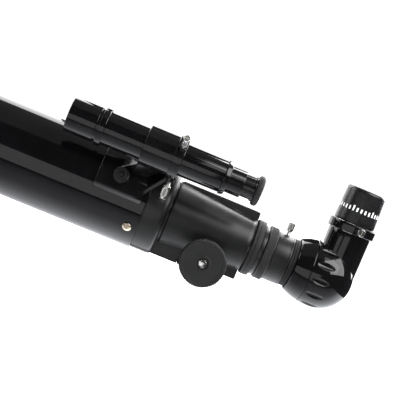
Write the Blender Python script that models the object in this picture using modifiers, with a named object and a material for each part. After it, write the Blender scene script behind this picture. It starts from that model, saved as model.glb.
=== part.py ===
"""A small achromatic refractor telescope with its finder, focuser, 90 degree diagonal and eyepiece.

+X runs along the optical axis from the objective towards the eyepiece, and +Z is up. The origin is
the middle of the underside of the dovetail bar. The constants and the profiles are in millimetres,
and positions along the tube are counted from its rear end. MM turns them into metres.
"""

import math

import bmesh
import bpy
from mathutils import Matrix

MM = 0.001
GAP = 0.3

# Main tube, and where it stands over the underside of the dovetail bar
TUBE_RADIUS = 38.0
TUBE_WALL = 1.2
TUBE_LENGTH = 472.0
TUBE_BORE = TUBE_RADIUS - TUBE_WALL
AXIS_HEIGHT = 54.0
REAR_END = 185.0

# Objective
LENS_RADIUS = 35.0
CELL_RADIUS = 42.6
CELL_FRONT = -497.0
CROWN_FRONT = -491.0
CROWN_THICKNESS = 6.5
AIR_SPACE = 0.9
FLINT_THICKNESS = 3.5
CROWN_FRONT_CURVE = 424.0
INNER_CURVE = 302.0
FLINT_REAR_CURVE = 1400.0
SHIELD_RADIUS = 44.5
SHIELD_BORE = 43.0
SHIELD_FRONT = -562.0
SHIELD_REAR = -474.0
SHIELD_RIM = 45.2
BAFFLE_AT = -330.0
BAFFLE_OPENING = 30.0

# Dovetail bar
DOVETAIL_LENGTH = 100.0
DOVETAIL_WIDTH = 43.8
DOVETAIL_TOP_WIDTH = 36.0
DOVETAIL_CENTRE = -REAR_END
DOVETAIL_TOP = -35.0
DOVETAIL_BOLT_OFFSET = 35.0
DOVETAIL_BOLT_SEAT = -48.0

# Focuser housing
COLLAR_RADIUS = 37.2
COLLAR_LENGTH = 18.0
SPIGOT_RADIUS = TUBE_BORE - GAP
SPIGOT_LENGTH = 20.0
CONE_FRONT_RADIUS = 28.1
CONE_REAR_RADIUS = 22.4
HOUSING_LENGTH = 89.0
BLOCK_HALF_WIDTH = 16.0
BLOCK_BOTTOM = -34.1
BLOCK_LENGTH = 75.0
COVER_FRONT = 40.0
COVER_THICKNESS = 3.0
COVER_SCREWS_AT = {"front": 45.0, "rear": 71.0}
TUBE_SCREW_AT = -7.2
TUBE_SCREW_ANGLES = {"near": 120.0, "far": 225.0, "upper": 330.0}

# Drawtube, rack and pinion
DRAWTUBE_RADIUS = 17.0
DRAWTUBE_BORE = 15.4
DRAWTUBE_FRONT = -52.0
DRAWTUBE_REAR = 96.9
SLIDING_FIT = 0.3
GEAR_MODULE = 0.8
PINION_TEETH = 13
PITCH_RADIUS = GEAR_MODULE * PINION_TEETH / 2
TOOTH_PITCH = math.pi * GEAR_MODULE
TOOTH_THICKNESS = 1.1
PRESSURE_ANGLE = math.radians(20)
ADDENDUM = 0.6
DEDENDUM = 0.9
PINION_X = 58.4
PINION_Z = -23.1
RACK_HALF_WIDTH = 3.0
RACK_FRONT = -50.0
RACK_REAR = 70.0
RACK_TOP = -15.4
SHAFT_RADIUS = 3.0

# Focus knobs
KNOB_RADIUS = 19.0
KNOB_FACE = 45.0
KNOB_RIM = 12.0
KNOB_HUB_END = 21.5

# Eyepiece holder
NECK_FRONT = 97.5
RING_FRONT = 101.3
RING_REAR = 109.0
HOLDER_FRONT = 109.3
HOLDER_REAR = 123.4
HOLDER_RADIUS = 20.6
BARREL_RADIUS = 15.85
SOCKET_BORE = 16.15
HOLDER_SCREW_AT = 116.5

# Diagonal
SHELL_RADIUS = 27.7
SHELL_WALL = 2.2
SHELL_CENTRE = 153.1
SHELL_FRONT_LENGTH = 39.0
SHELL_FRONT = 128.8
SEAM = 142.4
EYEPIECE_X = 162.8
NECK_RADIUS = 17.4
NECK_TOP = 41.5
LIP_TOP = 48.9
LIP_RADIUS = 19.3
LIP_SCREW_Z = 45.3
LIP_SCREW_ANGLE = -82.0
PRISM_HALF_SIDE = 10.0
PRISM_HALF_WIDTH = 9.0
PRISM_HOLDER_DEPTH = 2.12
PRISM_HOLDER_TOP = 5.4

# Eyepiece
EYEPIECE_BOTTOM = 49.3
EYEPIECE_TOP = 78.4
EYEPIECE_RADIUS = 16.9
EYEPIECE_TOP_RADIUS = 16.0

# Finder and its bracket, turned round the tube towards -Y
FINDER_TILT = math.radians(45)
FINDER_DISTANCE = 64.6
SLEEVE_FRONT = -18.0
SLEEVE_REAR = 5.9
SLEEVE_RADIUS = 15.7
SLEEVE_BORE = 14.0
BAND_REAR = 13.6
BAND_RADIUS = 16.8
FINDER_SCREW_AT = 10.2
FINDER_SCREW_ANGLES = (15.0, 135.0, 255.0)
SCREW_BOSS_RADIUS = 3.3
SCREW_BOSS_TOP = 19.4
O_RING_AT = -14.0
SADDLE_INNER = TUBE_RADIUS + GAP
SADDLE_OUTER = 41.8
SADDLE_FRONT = -43.8
SADDLE_REAR = -4.2
SADDLE_HALF_WIDTH = 26.7
STEM_OUTLINE = [(-33, 37), (-10, 37), (5.5, 56), (-17.8, 56), (-17.8, 50.6)]
STEM_HALF_WIDTH = 9.5
WEB_BOTTOM = 31.0
WEB_TOP = 51.6
NUT_AT = -26.0
NUT_ANGLES = {"lower": 23.0, "upper": -23.0}
NUT_RADIUS = 6.15

COARSE = 10
MEDIUM = 20
FINE = 32

ALONG_X = (0.0, math.pi / 2, 0.0)
UPRIGHT = (0.0, 0.0, 0.0)

FINISHES = {
    "gloss_black": ((0.010, 0.010, 0.011), 0.12, 0.0),
    "satin_black": ((0.030, 0.030, 0.032), 0.42, 0.0),
    "matte_black": ((0.018, 0.018, 0.019), 0.75, 0.0),
    "knob_plastic": ((0.024, 0.024, 0.025), 0.60, 0.0),
    "chrome": ((0.80, 0.80, 0.78), 0.16, 1.0),
    "steel": ((0.55, 0.55, 0.54), 0.30, 1.0),
    "brass": ((0.70, 0.52, 0.24), 0.30, 1.0),
    "rubber": ((0.020, 0.020, 0.020), 0.85, 0.0),
    "glass": ((0.75, 0.82, 0.86), 0.03, 0.0),
}


def clear_scene():
    for old in list(bpy.data.objects):
        bpy.data.objects.remove(old)


def new_collection(name):
    collection = bpy.data.collections.new(name)
    bpy.context.scene.collection.children.link(collection)
    return collection


def finish(name):
    """The named finish as a material, made the first time that it is asked for."""
    known = bpy.data.materials.get(name)
    if known:
        return known
    colour, roughness, metallic = FINISHES[name]
    material = bpy.data.materials.new(name)
    material.use_nodes = True
    shader = material.node_tree.nodes["Principled BSDF"]
    shader.inputs["Base Color"].default_value = (*colour, 1.0)
    shader.inputs["Roughness"].default_value = roughness
    shader.inputs["Metallic"].default_value = metallic
    return material


def metres(*values):
    return tuple(value * MM for value in values)


def empty(name, parent=None, location=(0, 0, 0), rotation=UPRIGHT):
    guide = bpy.data.objects.new(name, None)
    guide.empty_display_size = 0.02
    guide.parent = parent
    guide.location = metres(*location)
    guide.rotation_euler = rotation
    parts.objects.link(guide)
    return guide


def place(name, mesh, collection, parent, location, rotation):
    piece = bpy.data.objects.new(name, mesh)
    piece.parent = parent
    piece.location = metres(*location)
    piece.rotation_euler = rotation
    collection.objects.link(piece)
    return piece


def add_piece(name, mesh, look, parent, location=(0, 0, 0), rotation=UPRIGHT):
    mesh.materials.append(finish(look))
    return place(name, mesh, parts, parent, location, rotation)


def add_tool(name, mesh, parent, location=(0, 0, 0), rotation=UPRIGHT):
    """A guide shape for a Boolean: a cutter, or a lump that is joined on."""
    tool = place(name, mesh, cutters, parent, location, rotation)
    tool.hide_render = True
    tool.display_type = "WIRE"
    return tool


def boolean(target, tool, operation="DIFFERENCE"):
    modifier = target.modifiers.new(tool.name, "BOOLEAN")
    modifier.operation = operation
    modifier.object = tool


def finished_mesh(name, builder):
    """The mesh that the builder fills in, smooth shaded with its edges kept sharp."""
    mesh = bpy.data.meshes.new(name)
    shape = bmesh.new()
    builder(shape)
    shape.to_mesh(mesh)
    shape.free()
    mesh.shade_smooth()
    mesh.set_sharp_from_angle(angle=math.radians(35))
    return mesh


def box_mesh(name, low, high):
    """A box from its lowest to its highest corner."""
    size = [(b - a) * MM for a, b in zip(low, high)]
    middle = [(a + b) / 2 * MM for a, b in zip(low, high)]

    def build(shape):
        corners = bmesh.ops.create_cube(shape, size=1.0)["verts"]
        bmesh.ops.scale(shape, vec=size, verts=corners)
        bmesh.ops.translate(shape, vec=middle, verts=corners)

    return finished_mesh(name, build)


def rod_mesh(name, radius, bottom, top, segments=MEDIUM, twist=0.0):
    """A round rod along the local Z axis, turned about it by the twist."""
    def build(shape):
        made = bmesh.ops.create_cone(
            shape, cap_ends=True, segments=segments,
            radius1=radius * MM, radius2=radius * MM, depth=(top - bottom) * MM,
        )
        bmesh.ops.translate(shape, vec=(0, 0, (top + bottom) / 2 * MM), verts=made["verts"])
        bmesh.ops.rotate(shape, matrix=Matrix.Rotation(twist, 3, "Z"), verts=made["verts"])

    return finished_mesh(name, build)


def hole_mesh(name, radius, bottom, top):
    """A drill, turned a little so that its corners don't meet those of the piece that it cuts."""
    return rod_mesh(name, radius, bottom, top, COARSE, math.radians(4))


def profile_mesh(name, points):
    """An outline of (radius, height) points, closed unless both of its ends lie on the axis."""
    mesh = bpy.data.meshes.new(name)
    outline = bmesh.new()
    corners = [outline.verts.new((radius * MM, 0, height * MM)) for radius, height in points]
    for first, second in zip(corners, corners[1:]):
        outline.edges.new((first, second))
    if points[0][0] > 0:
        outline.edges.new((corners[-1], corners[0]))
    outline.to_mesh(mesh)
    outline.free()
    return mesh


def spin(piece, steps):
    screw = piece.modifiers.new("turned", "SCREW")
    screw.steps = steps
    screw.render_steps = steps
    screw.use_merge_vertices = True
    screw.merge_threshold = 0.00001
    screw.use_smooth_shade = True


def turned(name, points, look, parent, location=(0, 0, 0), rotation=ALONG_X, steps=MEDIUM):
    """A turned piece. Its profile runs down its outer side, from the highest point to the lowest."""
    piece = add_piece(name, profile_mesh(name, points), look, parent, location, rotation)
    spin(piece, steps)
    return piece


def turned_tool(name, points, parent, location=(0, 0, 0), rotation=ALONG_X, steps=MEDIUM):
    tool = add_tool(name, profile_mesh(name, points), parent, location, rotation)
    spin(tool, steps)
    return tool


def outline_mesh(name, points, half_width):
    """A flat outline in the XZ plane, given a thickness along Y and welded into one closed mesh."""
    curve = bpy.data.curves.new(name, "CURVE")
    curve.dimensions = "2D"
    curve.fill_mode = "BOTH"
    curve.extrude = half_width * MM
    spline = curve.splines.new("POLY")
    spline.points.add(len(points) - 1)
    for point, (x, z) in zip(spline.points, points):
        point.co = (x * MM, z * MM, 0, 1)
    spline.use_cyclic_u = True
    holder = bpy.data.objects.new(name + "_outline", curve)
    holder.rotation_euler = (math.pi / 2, 0, 0)
    cutters.objects.link(holder)
    seen = bpy.context.evaluated_depsgraph_get()
    seen.update()
    mesh = bpy.data.meshes.new_from_object(holder.evaluated_get(seen))
    turn = holder.evaluated_get(seen).matrix_world.copy()
    bpy.data.objects.remove(holder)
    mesh.transform(turn)
    mesh.name = name
    shape = bmesh.new()
    shape.from_mesh(mesh)
    bmesh.ops.remove_doubles(shape, verts=shape.verts, dist=0.000001)
    bmesh.ops.recalc_face_normals(shape, faces=shape.faces)
    shape.to_mesh(mesh)
    shape.free()
    return mesh


def around_x(angle):
    """Turns the local Z axis from straight up towards -Y, for a piece that stands on the tube."""
    return (math.radians(angle), 0.0, 0.0)


def screw_profile(head_radius, head_height, shank_radius, shank_length, dome=0.5):
    """A screw whose head rests on height 0 and whose shank hangs below it."""
    return [
        (0, head_height),
        (head_radius * 0.6, head_height - 0.12 * dome * head_radius),
        (head_radius, head_height - dome * head_height),
        (head_radius, 0),
        (shank_radius, 0),
        (shank_radius, -shank_length),
        (0, -shank_length),
    ]


def lens_profile(radius, front, front_curve, rear, rear_curve, segments=2):
    """A lens between two spherical faces. A curve is positive where its centre lies behind it."""
    def face(vertex, curve, distance):
        bulge = abs(curve) - math.sqrt(curve * curve - distance * distance)
        return vertex + math.copysign(bulge, curve)

    steps = [radius * i / segments for i in range(segments + 1)]
    behind = [(r, face(rear, rear_curve, r)) for r in steps]
    ahead = [(r, face(front, front_curve, r)) for r in reversed(steps)]
    return behind + ahead


def make_tube():
    rear_to_front = [
        (TUBE_RADIUS, 0),
        (TUBE_RADIUS, -TUBE_LENGTH),
        (TUBE_BORE, -TUBE_LENGTH),
        (TUBE_BORE, 0),
    ]
    tube = turned("main_tube", rear_to_front, "gloss_black", optical_axis, steps=FINE)
    for name, angle in TUBE_SCREW_ANGLES.items():
        drill(tube, f"tube_hole_{name}", TUBE_SCREW_AT, angle, 2.05, 34, 41)
    for side in (-1, 1):
        at = DOVETAIL_CENTRE + side * DOVETAIL_BOLT_OFFSET
        drill(tube, f"bolt_hole_{side + 1}", at, 180, 3.3, 34, 41)
    for name, angle in NUT_ANGLES.items():
        drill(tube, f"stud_hole_{name}", NUT_AT, math.degrees(FINDER_TILT) + angle, 2.3, 34, 41)
    baffle = [
        (SPIGOT_RADIUS, BAFFLE_AT + 8),
        (SPIGOT_RADIUS, BAFFLE_AT - 1.5),
        (BAFFLE_OPENING, BAFFLE_AT - 1.5),
        (BAFFLE_OPENING, BAFFLE_AT),
        (SPIGOT_RADIUS - 1.5, BAFFLE_AT),
        (SPIGOT_RADIUS - 1.5, BAFFLE_AT + 8),
    ]
    turned("tube_baffle", baffle, "matte_black", optical_axis)


def drill(piece, name, at, angle, radius, inner, outer):
    """A round hole that points away from the optical axis, between two distances from it."""
    mesh = hole_mesh(name, radius, inner, outer)
    boolean(piece, add_tool(name, mesh, optical_axis, (at, 0, 0), around_x(angle)))


def make_objective():
    crown_rear = CROWN_FRONT + CROWN_THICKNESS
    flint_front = crown_rear + AIR_SPACE
    flint_rear = flint_front + FLINT_THICKNESS
    crown = lens_profile(LENS_RADIUS, CROWN_FRONT, CROWN_FRONT_CURVE, crown_rear, -INNER_CURVE)
    flint = lens_profile(LENS_RADIUS, flint_front, -INNER_CURVE, flint_rear, -FLINT_REAR_CURVE)
    turned("crown_lens", crown, "glass", optical_axis, steps=FINE)
    turned("flint_lens", flint, "glass", optical_axis, steps=FINE)
    crown_edge = crown[2][1]
    spacer = [
        (34.8, crown_edge + 0.60),
        (34.8, crown_edge + GAP),
        (33.0, crown_edge + GAP + 0.23),
        (33.0, crown_edge + 0.83),
    ]
    turned("lens_spacer", spacer, "brass", optical_axis)
    seat = flint[2][1] + GAP
    cell = [
        (SPIGOT_RADIUS, -455),
        (SPIGOT_RADIUS, -TUBE_LENGTH - GAP),
        (CELL_RADIUS, -TUBE_LENGTH - GAP),
        (CELL_RADIUS, CELL_FRONT),
        (37.2, CELL_FRONT),
        (37.2, CELL_FRONT + 4),
        (LENS_RADIUS + GAP, CELL_FRONT + 4),
        (LENS_RADIUS + GAP, seat),
        (32.8, seat),
        (32.8, seat + 4),
        (34.0, seat + 10),
        (34.0, -455),
    ]
    turned("objective_cell", cell, "satin_black", optical_axis, steps=FINE)
    ring = [
        (LENS_RADIUS, -490.0),
        (LENS_RADIUS, CELL_FRONT + 3.7),
        (36.9, CELL_FRONT + 3.7),
        (36.9, CELL_FRONT + 0.2),
        (33.2, CELL_FRONT + 0.2),
        (33.2, -490.0),
    ]
    turned("lens_retaining_ring", ring, "matte_black", optical_axis, steps=FINE)
    shield = [
        (SHIELD_RADIUS, SHIELD_REAR),
        (SHIELD_RADIUS, SHIELD_FRONT + 6),
        (SHIELD_RIM, SHIELD_FRONT + 6),
        (SHIELD_RIM, SHIELD_FRONT),
        (SHIELD_BORE, SHIELD_FRONT),
        (SHIELD_BORE, SHIELD_REAR),
    ]
    turned("dew_shield", shield, "gloss_black", optical_axis, steps=FINE)


def make_dovetail():
    """The mounting bar, hollowed on top to sit on the tube, and its two bolts in counterbores."""
    bottom = -AXIS_HEIGHT
    half_length = DOVETAIL_LENGTH / 2
    mesh = box_mesh(
        "dovetail_bar",
        (-half_length, -DOVETAIL_WIDTH / 2, bottom),
        (half_length, DOVETAIL_WIDTH / 2, DOVETAIL_TOP),
    )
    for corner in mesh.vertices:
        if corner.co.z > (bottom + DOVETAIL_TOP) / 2 * MM:
            corner.co.y *= DOVETAIL_TOP_WIDTH / DOVETAIL_WIDTH
    bar = add_piece("dovetail_bar", mesh, "satin_black", optical_axis, (DOVETAIL_CENTRE, 0, 0))
    edges = bar.modifiers.new("edges", "BEVEL")
    edges.width = 0.8 * MM
    edges.segments = 2
    hollow = rod_mesh("bar_hollow", SADDLE_INNER, -60, 60, segments=FINE)
    boolean(bar, add_tool("bar_hollow", hollow, optical_axis, (DOVETAIL_CENTRE, 0, 0), ALONG_X))
    profile = screw_profile(5.0, 4.5, 3.0, 14.0, dome=0.1)
    for name, side in (("front", -1), ("rear", 1)):
        at = DOVETAIL_CENTRE + side * DOVETAIL_BOLT_OFFSET
        drill(bar, f"bar_hole_{name}", at, 180, 3.3, 30, 60)
        drill(bar, f"bar_recess_{name}", at, 180, 5.4, -DOVETAIL_BOLT_SEAT, 60)
        turned(
            f"dovetail_bolt_{name}", profile, "steel", optical_axis,
            (at, 0, DOVETAIL_BOLT_SEAT - GAP), around_x(180), COARSE,
        )


def make_housing():
    rear_to_front = [
        (CONE_REAR_RADIUS - 0.6, HOUSING_LENGTH),
        (CONE_REAR_RADIUS, HOUSING_LENGTH - 0.6),
        (CONE_FRONT_RADIUS, COLLAR_LENGTH + 1.5),
        (CONE_FRONT_RADIUS, COLLAR_LENGTH),
        (COLLAR_RADIUS - 3.0, COLLAR_LENGTH),
        (COLLAR_RADIUS - 1.5, COLLAR_LENGTH - 0.4),
        (COLLAR_RADIUS - 0.4, COLLAR_LENGTH - 1.5),
        (COLLAR_RADIUS, COLLAR_LENGTH - 3.0),
        (COLLAR_RADIUS, GAP),
        (SPIGOT_RADIUS, GAP),
        (SPIGOT_RADIUS, -SPIGOT_LENGTH),
        (0, -SPIGOT_LENGTH),
    ]
    housing = turned(
        "focuser_housing", [(0, HOUSING_LENGTH)] + rear_to_front,
        "satin_black", optical_axis, steps=FINE,
    )
    lumps = {
        "top_rib": ((20, -5, 10), (HOUSING_LENGTH, 5, 28.7)),
        "pinion_block": (
            (GAP, -BLOCK_HALF_WIDTH, BLOCK_BOTTOM),
            (BLOCK_LENGTH, BLOCK_HALF_WIDTH, -10),
        ),
        "bottom_rib": ((50, -8, -29.4), (HOUSING_LENGTH, 8, -10)),
    }
    for name, (low, high) in lumps.items():
        boolean(housing, add_tool(name, box_mesh(name, low, high), optical_axis), "UNION")
    bore = DRAWTUBE_RADIUS + SLIDING_FIT
    inside = [
        (0, HOUSING_LENGTH + 5),
        (bore, HOUSING_LENGTH + 5),
        (bore, 26),
        (24.0, 20),
        (33.5, 12),
        (33.5, -SPIGOT_LENGTH - 5),
        (0, -SPIGOT_LENGTH - 5),
    ]
    boolean(housing, turned_tool("housing_inside", inside, optical_axis, steps=FINE))
    hollows = {
        "rack_slot": ((18, -3.5, -19.3), (HOUSING_LENGTH + 5, 3.5, -10)),
        "pinion_cavity": ((PINION_X - 8.5, -7, -40), (PINION_X + 8.5, 7, -16.5)),
        "cover_recess": (
            (COVER_FRONT, -BLOCK_HALF_WIDTH - 5, BLOCK_BOTTOM - 5),
            (BLOCK_LENGTH + 5, BLOCK_HALF_WIDTH + 5, BLOCK_BOTTOM + COVER_THICKNESS + GAP),
        ),
    }
    for name, (low, high) in hollows.items():
        boolean(housing, add_tool(name, box_mesh(name, low, high), optical_axis))
    shaft_hole = hole_mesh("shaft_hole", SHAFT_RADIUS + GAP, -30, 30)
    across = add_tool(
        "shaft_hole", shaft_hole, optical_axis, (PINION_X, 0, PINION_Z), (math.pi / 2, 0, 0)
    )
    boolean(housing, across)
    for name, angle in TUBE_SCREW_ANGLES.items():
        drill(housing, f"spigot_hole_{name}", TUBE_SCREW_AT, angle, 2.05, 31, 40)
        turned(
            f"tube_screw_{name}", screw_profile(3.7, 1.9, 1.75, 4.6), "chrome", optical_axis,
            (TUBE_SCREW_AT, *outward(angle, TUBE_RADIUS + GAP)), around_x(angle), COARSE,
        )
    make_pinion_cover(housing)


def outward(angle, distance):
    """The Y and Z of a point at a distance from the optical axis, by its angle from straight up."""
    turn = math.radians(angle)
    return -distance * math.sin(turn), distance * math.cos(turn)


def make_pinion_cover(housing):
    """The plate under the pinion, flush with the block, and its two screws."""
    top = BLOCK_BOTTOM + COVER_THICKNESS
    low = (COVER_FRONT + GAP, -BLOCK_HALF_WIDTH, BLOCK_BOTTOM)
    high = (BLOCK_LENGTH, BLOCK_HALF_WIDTH, top)
    cover = add_piece(
        "pinion_cover", box_mesh("pinion_cover", low, high), "satin_black", optical_axis
    )
    for name, at in COVER_SCREWS_AT.items():
        drill(cover, f"cover_hole_{name}", at, 180, 1.8, 30, 42)
        drill(housing, f"cover_thread_{name}", at, 180, 1.8, 25, 42)
        turned(
            f"cover_screw_{name}", screw_profile(3.0, 1.6, 1.4, 9.0), "steel", optical_axis,
            (at, 0, BLOCK_BOTTOM - GAP), around_x(180), COARSE,
        )


def rack_outline():
    """The rack's side view: a flat back, and teeth that point down."""
    pitch_line = PINION_Z + PITCH_RADIUS
    root = pitch_line + DEDENDUM
    tip = pitch_line - ADDENDUM
    slope = math.tan(PRESSURE_ANGLE)
    root_half = TOOTH_THICKNESS / 2 + DEDENDUM * slope
    tip_half = TOOTH_THICKNESS / 2 - ADDENDUM * slope
    first = math.ceil((RACK_FRONT - PINION_X) / TOOTH_PITCH) + 0.5
    last = (RACK_REAR - PINION_X) / TOOTH_PITCH - 0.5
    points = [(RACK_REAR, RACK_TOP), (RACK_FRONT, RACK_TOP), (RACK_FRONT, root)]
    count = int(last - first) + 1
    for i in range(count):
        middle = PINION_X + (first + i) * TOOTH_PITCH
        points.append((middle - root_half, root))
        points.append((middle - tip_half, tip))
        points.append((middle + tip_half, tip))
        points.append((middle + root_half, root))
    points.append((RACK_REAR, root))
    return points


def gear_outline():
    """The pinion's side view, with one tooth pointing straight up into the rack."""
    base = PITCH_RADIUS * math.cos(PRESSURE_ANGLE)
    tip = PITCH_RADIUS + ADDENDUM
    root = PITCH_RADIUS - DEDENDUM
    half_at_pitch = TOOTH_THICKNESS / 2 / PITCH_RADIUS
    involute = math.tan(PRESSURE_ANGLE) - PRESSURE_ANGLE

    def half_angle(radius):
        lean = math.acos(min(1.0, base / radius))
        return half_at_pitch + involute - (math.tan(lean) - lean)

    flank = [root, base, PITCH_RADIUS, tip]
    points = []
    for tooth in range(PINION_TEETH):
        middle = math.pi / 2 + math.tau * tooth / PINION_TEETH
        sides = [(r, middle - half_angle(r)) for r in flank]
        sides += [(r, middle + half_angle(r)) for r in reversed(flank)]
        points += [(r * math.cos(a), r * math.sin(a)) for r, a in sides]
    return points


def make_drawtube():
    tube = [
        (DRAWTUBE_RADIUS, DRAWTUBE_REAR),
        (DRAWTUBE_RADIUS, DRAWTUBE_FRONT),
        (DRAWTUBE_BORE, DRAWTUBE_FRONT),
        (DRAWTUBE_BORE, DRAWTUBE_REAR),
    ]
    drawtube = turned("drawtube", tube, "chrome", optical_axis)
    slot = box_mesh(
        "rack_seat",
        (RACK_FRONT - GAP, -RACK_HALF_WIDTH - GAP, -20),
        (RACK_REAR + GAP, RACK_HALF_WIDTH + GAP, -12),
    )
    boolean(drawtube, add_tool("rack_seat", slot, optical_axis))
    rack = outline_mesh("rack", rack_outline(), RACK_HALF_WIDTH)
    add_piece("rack", rack, "matte_black", optical_axis)
    end_ring = [
        (22.7, 97.2), (23.3, 96.6), (23.3, 90.8), (22.7, 90.2),
        (DRAWTUBE_RADIUS + GAP, 90.2), (DRAWTUBE_RADIUS + GAP, 97.2),
    ]
    turned("drawtube_end_ring", end_ring, "satin_black", optical_axis)
    neck = [
        (18.8, 112.0), (18.8, 101.0), (21.0, 101.0), (21.0, NECK_FRONT),
        (DRAWTUBE_BORE - GAP, NECK_FRONT), (DRAWTUBE_BORE - GAP, 90.0),
        (13.3, 90.0), (13.3, 100.5), (SOCKET_BORE, 100.5), (SOCKET_BORE, 112.0),
    ]
    turned("threaded_neck", neck, "satin_black", optical_axis)
    knurled = [(22.4, RING_REAR), (22.4, RING_FRONT), (19.1, RING_FRONT), (19.1, RING_REAR)]
    turned("knurled_ring", knurled, "satin_black", optical_axis)
    holder = [
        (HOLDER_RADIUS - 0.4, HOLDER_REAR), (HOLDER_RADIUS, HOLDER_REAR - 0.4),
        (HOLDER_RADIUS, HOLDER_FRONT), (19.1, HOLDER_FRONT), (19.1, 112.3),
        (SOCKET_BORE, 112.3), (SOCKET_BORE, HOLDER_REAR),
    ]
    body = turned("eyepiece_holder", holder, "satin_black", optical_axis)
    drill(body, "holder_screw_hole", HOLDER_SCREW_AT, 0, 2.0, 12, 26)
    thumbscrew(
        "holder_thumbscrew", optical_axis, (HOLDER_SCREW_AT, 0, 0), UPRIGHT,
        [1.7, 16.6, 24.4, 2.65, 31.0],
    )


def thumbscrew(name, parent, location, rotation, sizes):
    """A screw along the local Z axis. The sizes are shank radius, tip, head start, head radius, top."""
    shank, tip, head, head_radius, top = sizes
    profile = [
        (0, top), (head_radius - 0.4, top), (head_radius, top - 0.4), (head_radius, head),
        (shank, head), (shank, tip), (0, tip),
    ]
    return turned(name, profile, "chrome", parent, location, rotation, COARSE)


def make_pinion():
    pinion_axis = empty("pinion_axis", optical_axis, (PINION_X, 0, PINION_Z))
    crosswise = (math.pi / 2, 0, 0)
    shaft_end = KNOB_FACE - 4.3
    shaft = add_piece(
        "pinion_shaft", rod_mesh("pinion_shaft", SHAFT_RADIUS, -shaft_end, shaft_end),
        "steel", pinion_axis, (0, 0, 0), crosswise,
    )
    gear = add_tool("pinion_teeth", outline_mesh("pinion_teeth", gear_outline(), 5.0), pinion_axis)
    boolean(shaft, gear, "UNION")
    profile = [
        (KNOB_RADIUS - 0.9, KNOB_FACE),
        (KNOB_RADIUS, KNOB_FACE - 0.9),
        (KNOB_RADIUS, KNOB_FACE - KNOB_RIM + 0.9),
        (KNOB_RADIUS - 0.9, KNOB_FACE - KNOB_RIM),
        (8.0, KNOB_FACE - KNOB_RIM),
        (8.0, KNOB_HUB_END),
        (SHAFT_RADIUS + GAP, KNOB_HUB_END),
        (SHAFT_RADIUS + GAP, KNOB_FACE - 4.0),
        (1.7, KNOB_FACE - 4.0),
        (1.7, KNOB_FACE - 1.5),
        (4.4, KNOB_FACE - 1.5),
        (4.4, KNOB_FACE),
    ]
    for name, turn in (("left", math.pi / 2), ("right", -math.pi / 2)):
        facing = (turn, 0, 0)
        turned(f"focus_knob_{name}", profile, "knob_plastic", pinion_axis, rotation=facing)
        head = KNOB_FACE - 1.5 + GAP
        side = -1 if name == "left" else 1
        turned(
            f"knob_screw_{name}", screw_profile(3.7, 2.2, 1.4, 10.0), "chrome", pinion_axis,
            (0, side * head, 0), facing, COARSE,
        )
        tool = hole_mesh(f"shaft_thread_{name}", 1.7, shaft_end - 8, shaft_end + 5)
        boolean(shaft, add_tool(f"shaft_thread_{name}", tool, pinion_axis, (0, 0, 0), facing))


def shell_radius(x, inset=0.0):
    """The diagonal's outer radius at a place on the optical axis: an ellipse, then a sphere."""
    length = SHELL_FRONT_LENGTH if x < SHELL_CENTRE else SHELL_RADIUS
    part = (x - SHELL_CENTRE) / (length - inset)
    return (SHELL_RADIUS - inset) * math.sqrt(max(0.0, 1 - part * part))


def shell_curve(rear, front, count, inset=0.0):
    """Points along the diagonal's outline from the rear to the front, closer together at the rear."""
    points = []
    for i in range(count + 1):
        x = rear + (front - rear) * (1 - math.cos(math.pi / 2 * i / count))
        points.append((shell_radius(x, inset), x))
    return points


def make_diagonal():
    nosepiece = [
        (16.0, 134.0), (16.0, 128.5), (20.0, 128.5), (20.0, 123.8),
        (BARREL_RADIUS, 123.8), (BARREL_RADIUS, 103.0), (14.3, 103.0), (14.3, 134.0),
    ]
    turned("diagonal_nosepiece", nosepiece, "matte_black", optical_axis)
    front_outside = shell_curve(SEAM - GAP, SHELL_FRONT, 4)
    front_inside = shell_curve(SEAM - GAP, SHELL_FRONT + SHELL_WALL, 3, SHELL_WALL)
    front = front_outside + [(16.3, SHELL_FRONT), (16.3, SHELL_FRONT + SHELL_WALL)]
    front += list(reversed(front_inside))
    turned("diagonal_front_shell", front, "gloss_black", optical_axis, steps=FINE)

    rear_end = SHELL_CENTRE + SHELL_RADIUS
    outside = shell_curve(rear_end, SEAM, 9) + [(0, SEAM)]
    outside[0] = (0, rear_end)
    shell = turned("diagonal_rear_shell", outside, "gloss_black", optical_axis, steps=FINE)
    neck = rod_mesh("shell_neck", NECK_RADIUS, 0, NECK_TOP, segments=FINE)
    boolean(shell, add_tool("shell_neck", neck, eyepiece_axis), "UNION")
    hollow_end = rear_end - SHELL_WALL
    hollow = shell_curve(hollow_end, SEAM - 3, 6, SHELL_WALL) + [(0, SEAM - 3)]
    hollow[0] = (0, hollow_end)
    boolean(shell, turned_tool("shell_hollow", hollow, optical_axis, steps=FINE))
    socket = rod_mesh("shell_socket", SOCKET_BORE, 0.5, NECK_TOP + 5, segments=FINE)
    boolean(shell, add_tool("shell_socket", socket, eyepiece_axis))
    make_prism()
    make_socket_ring()


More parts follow.
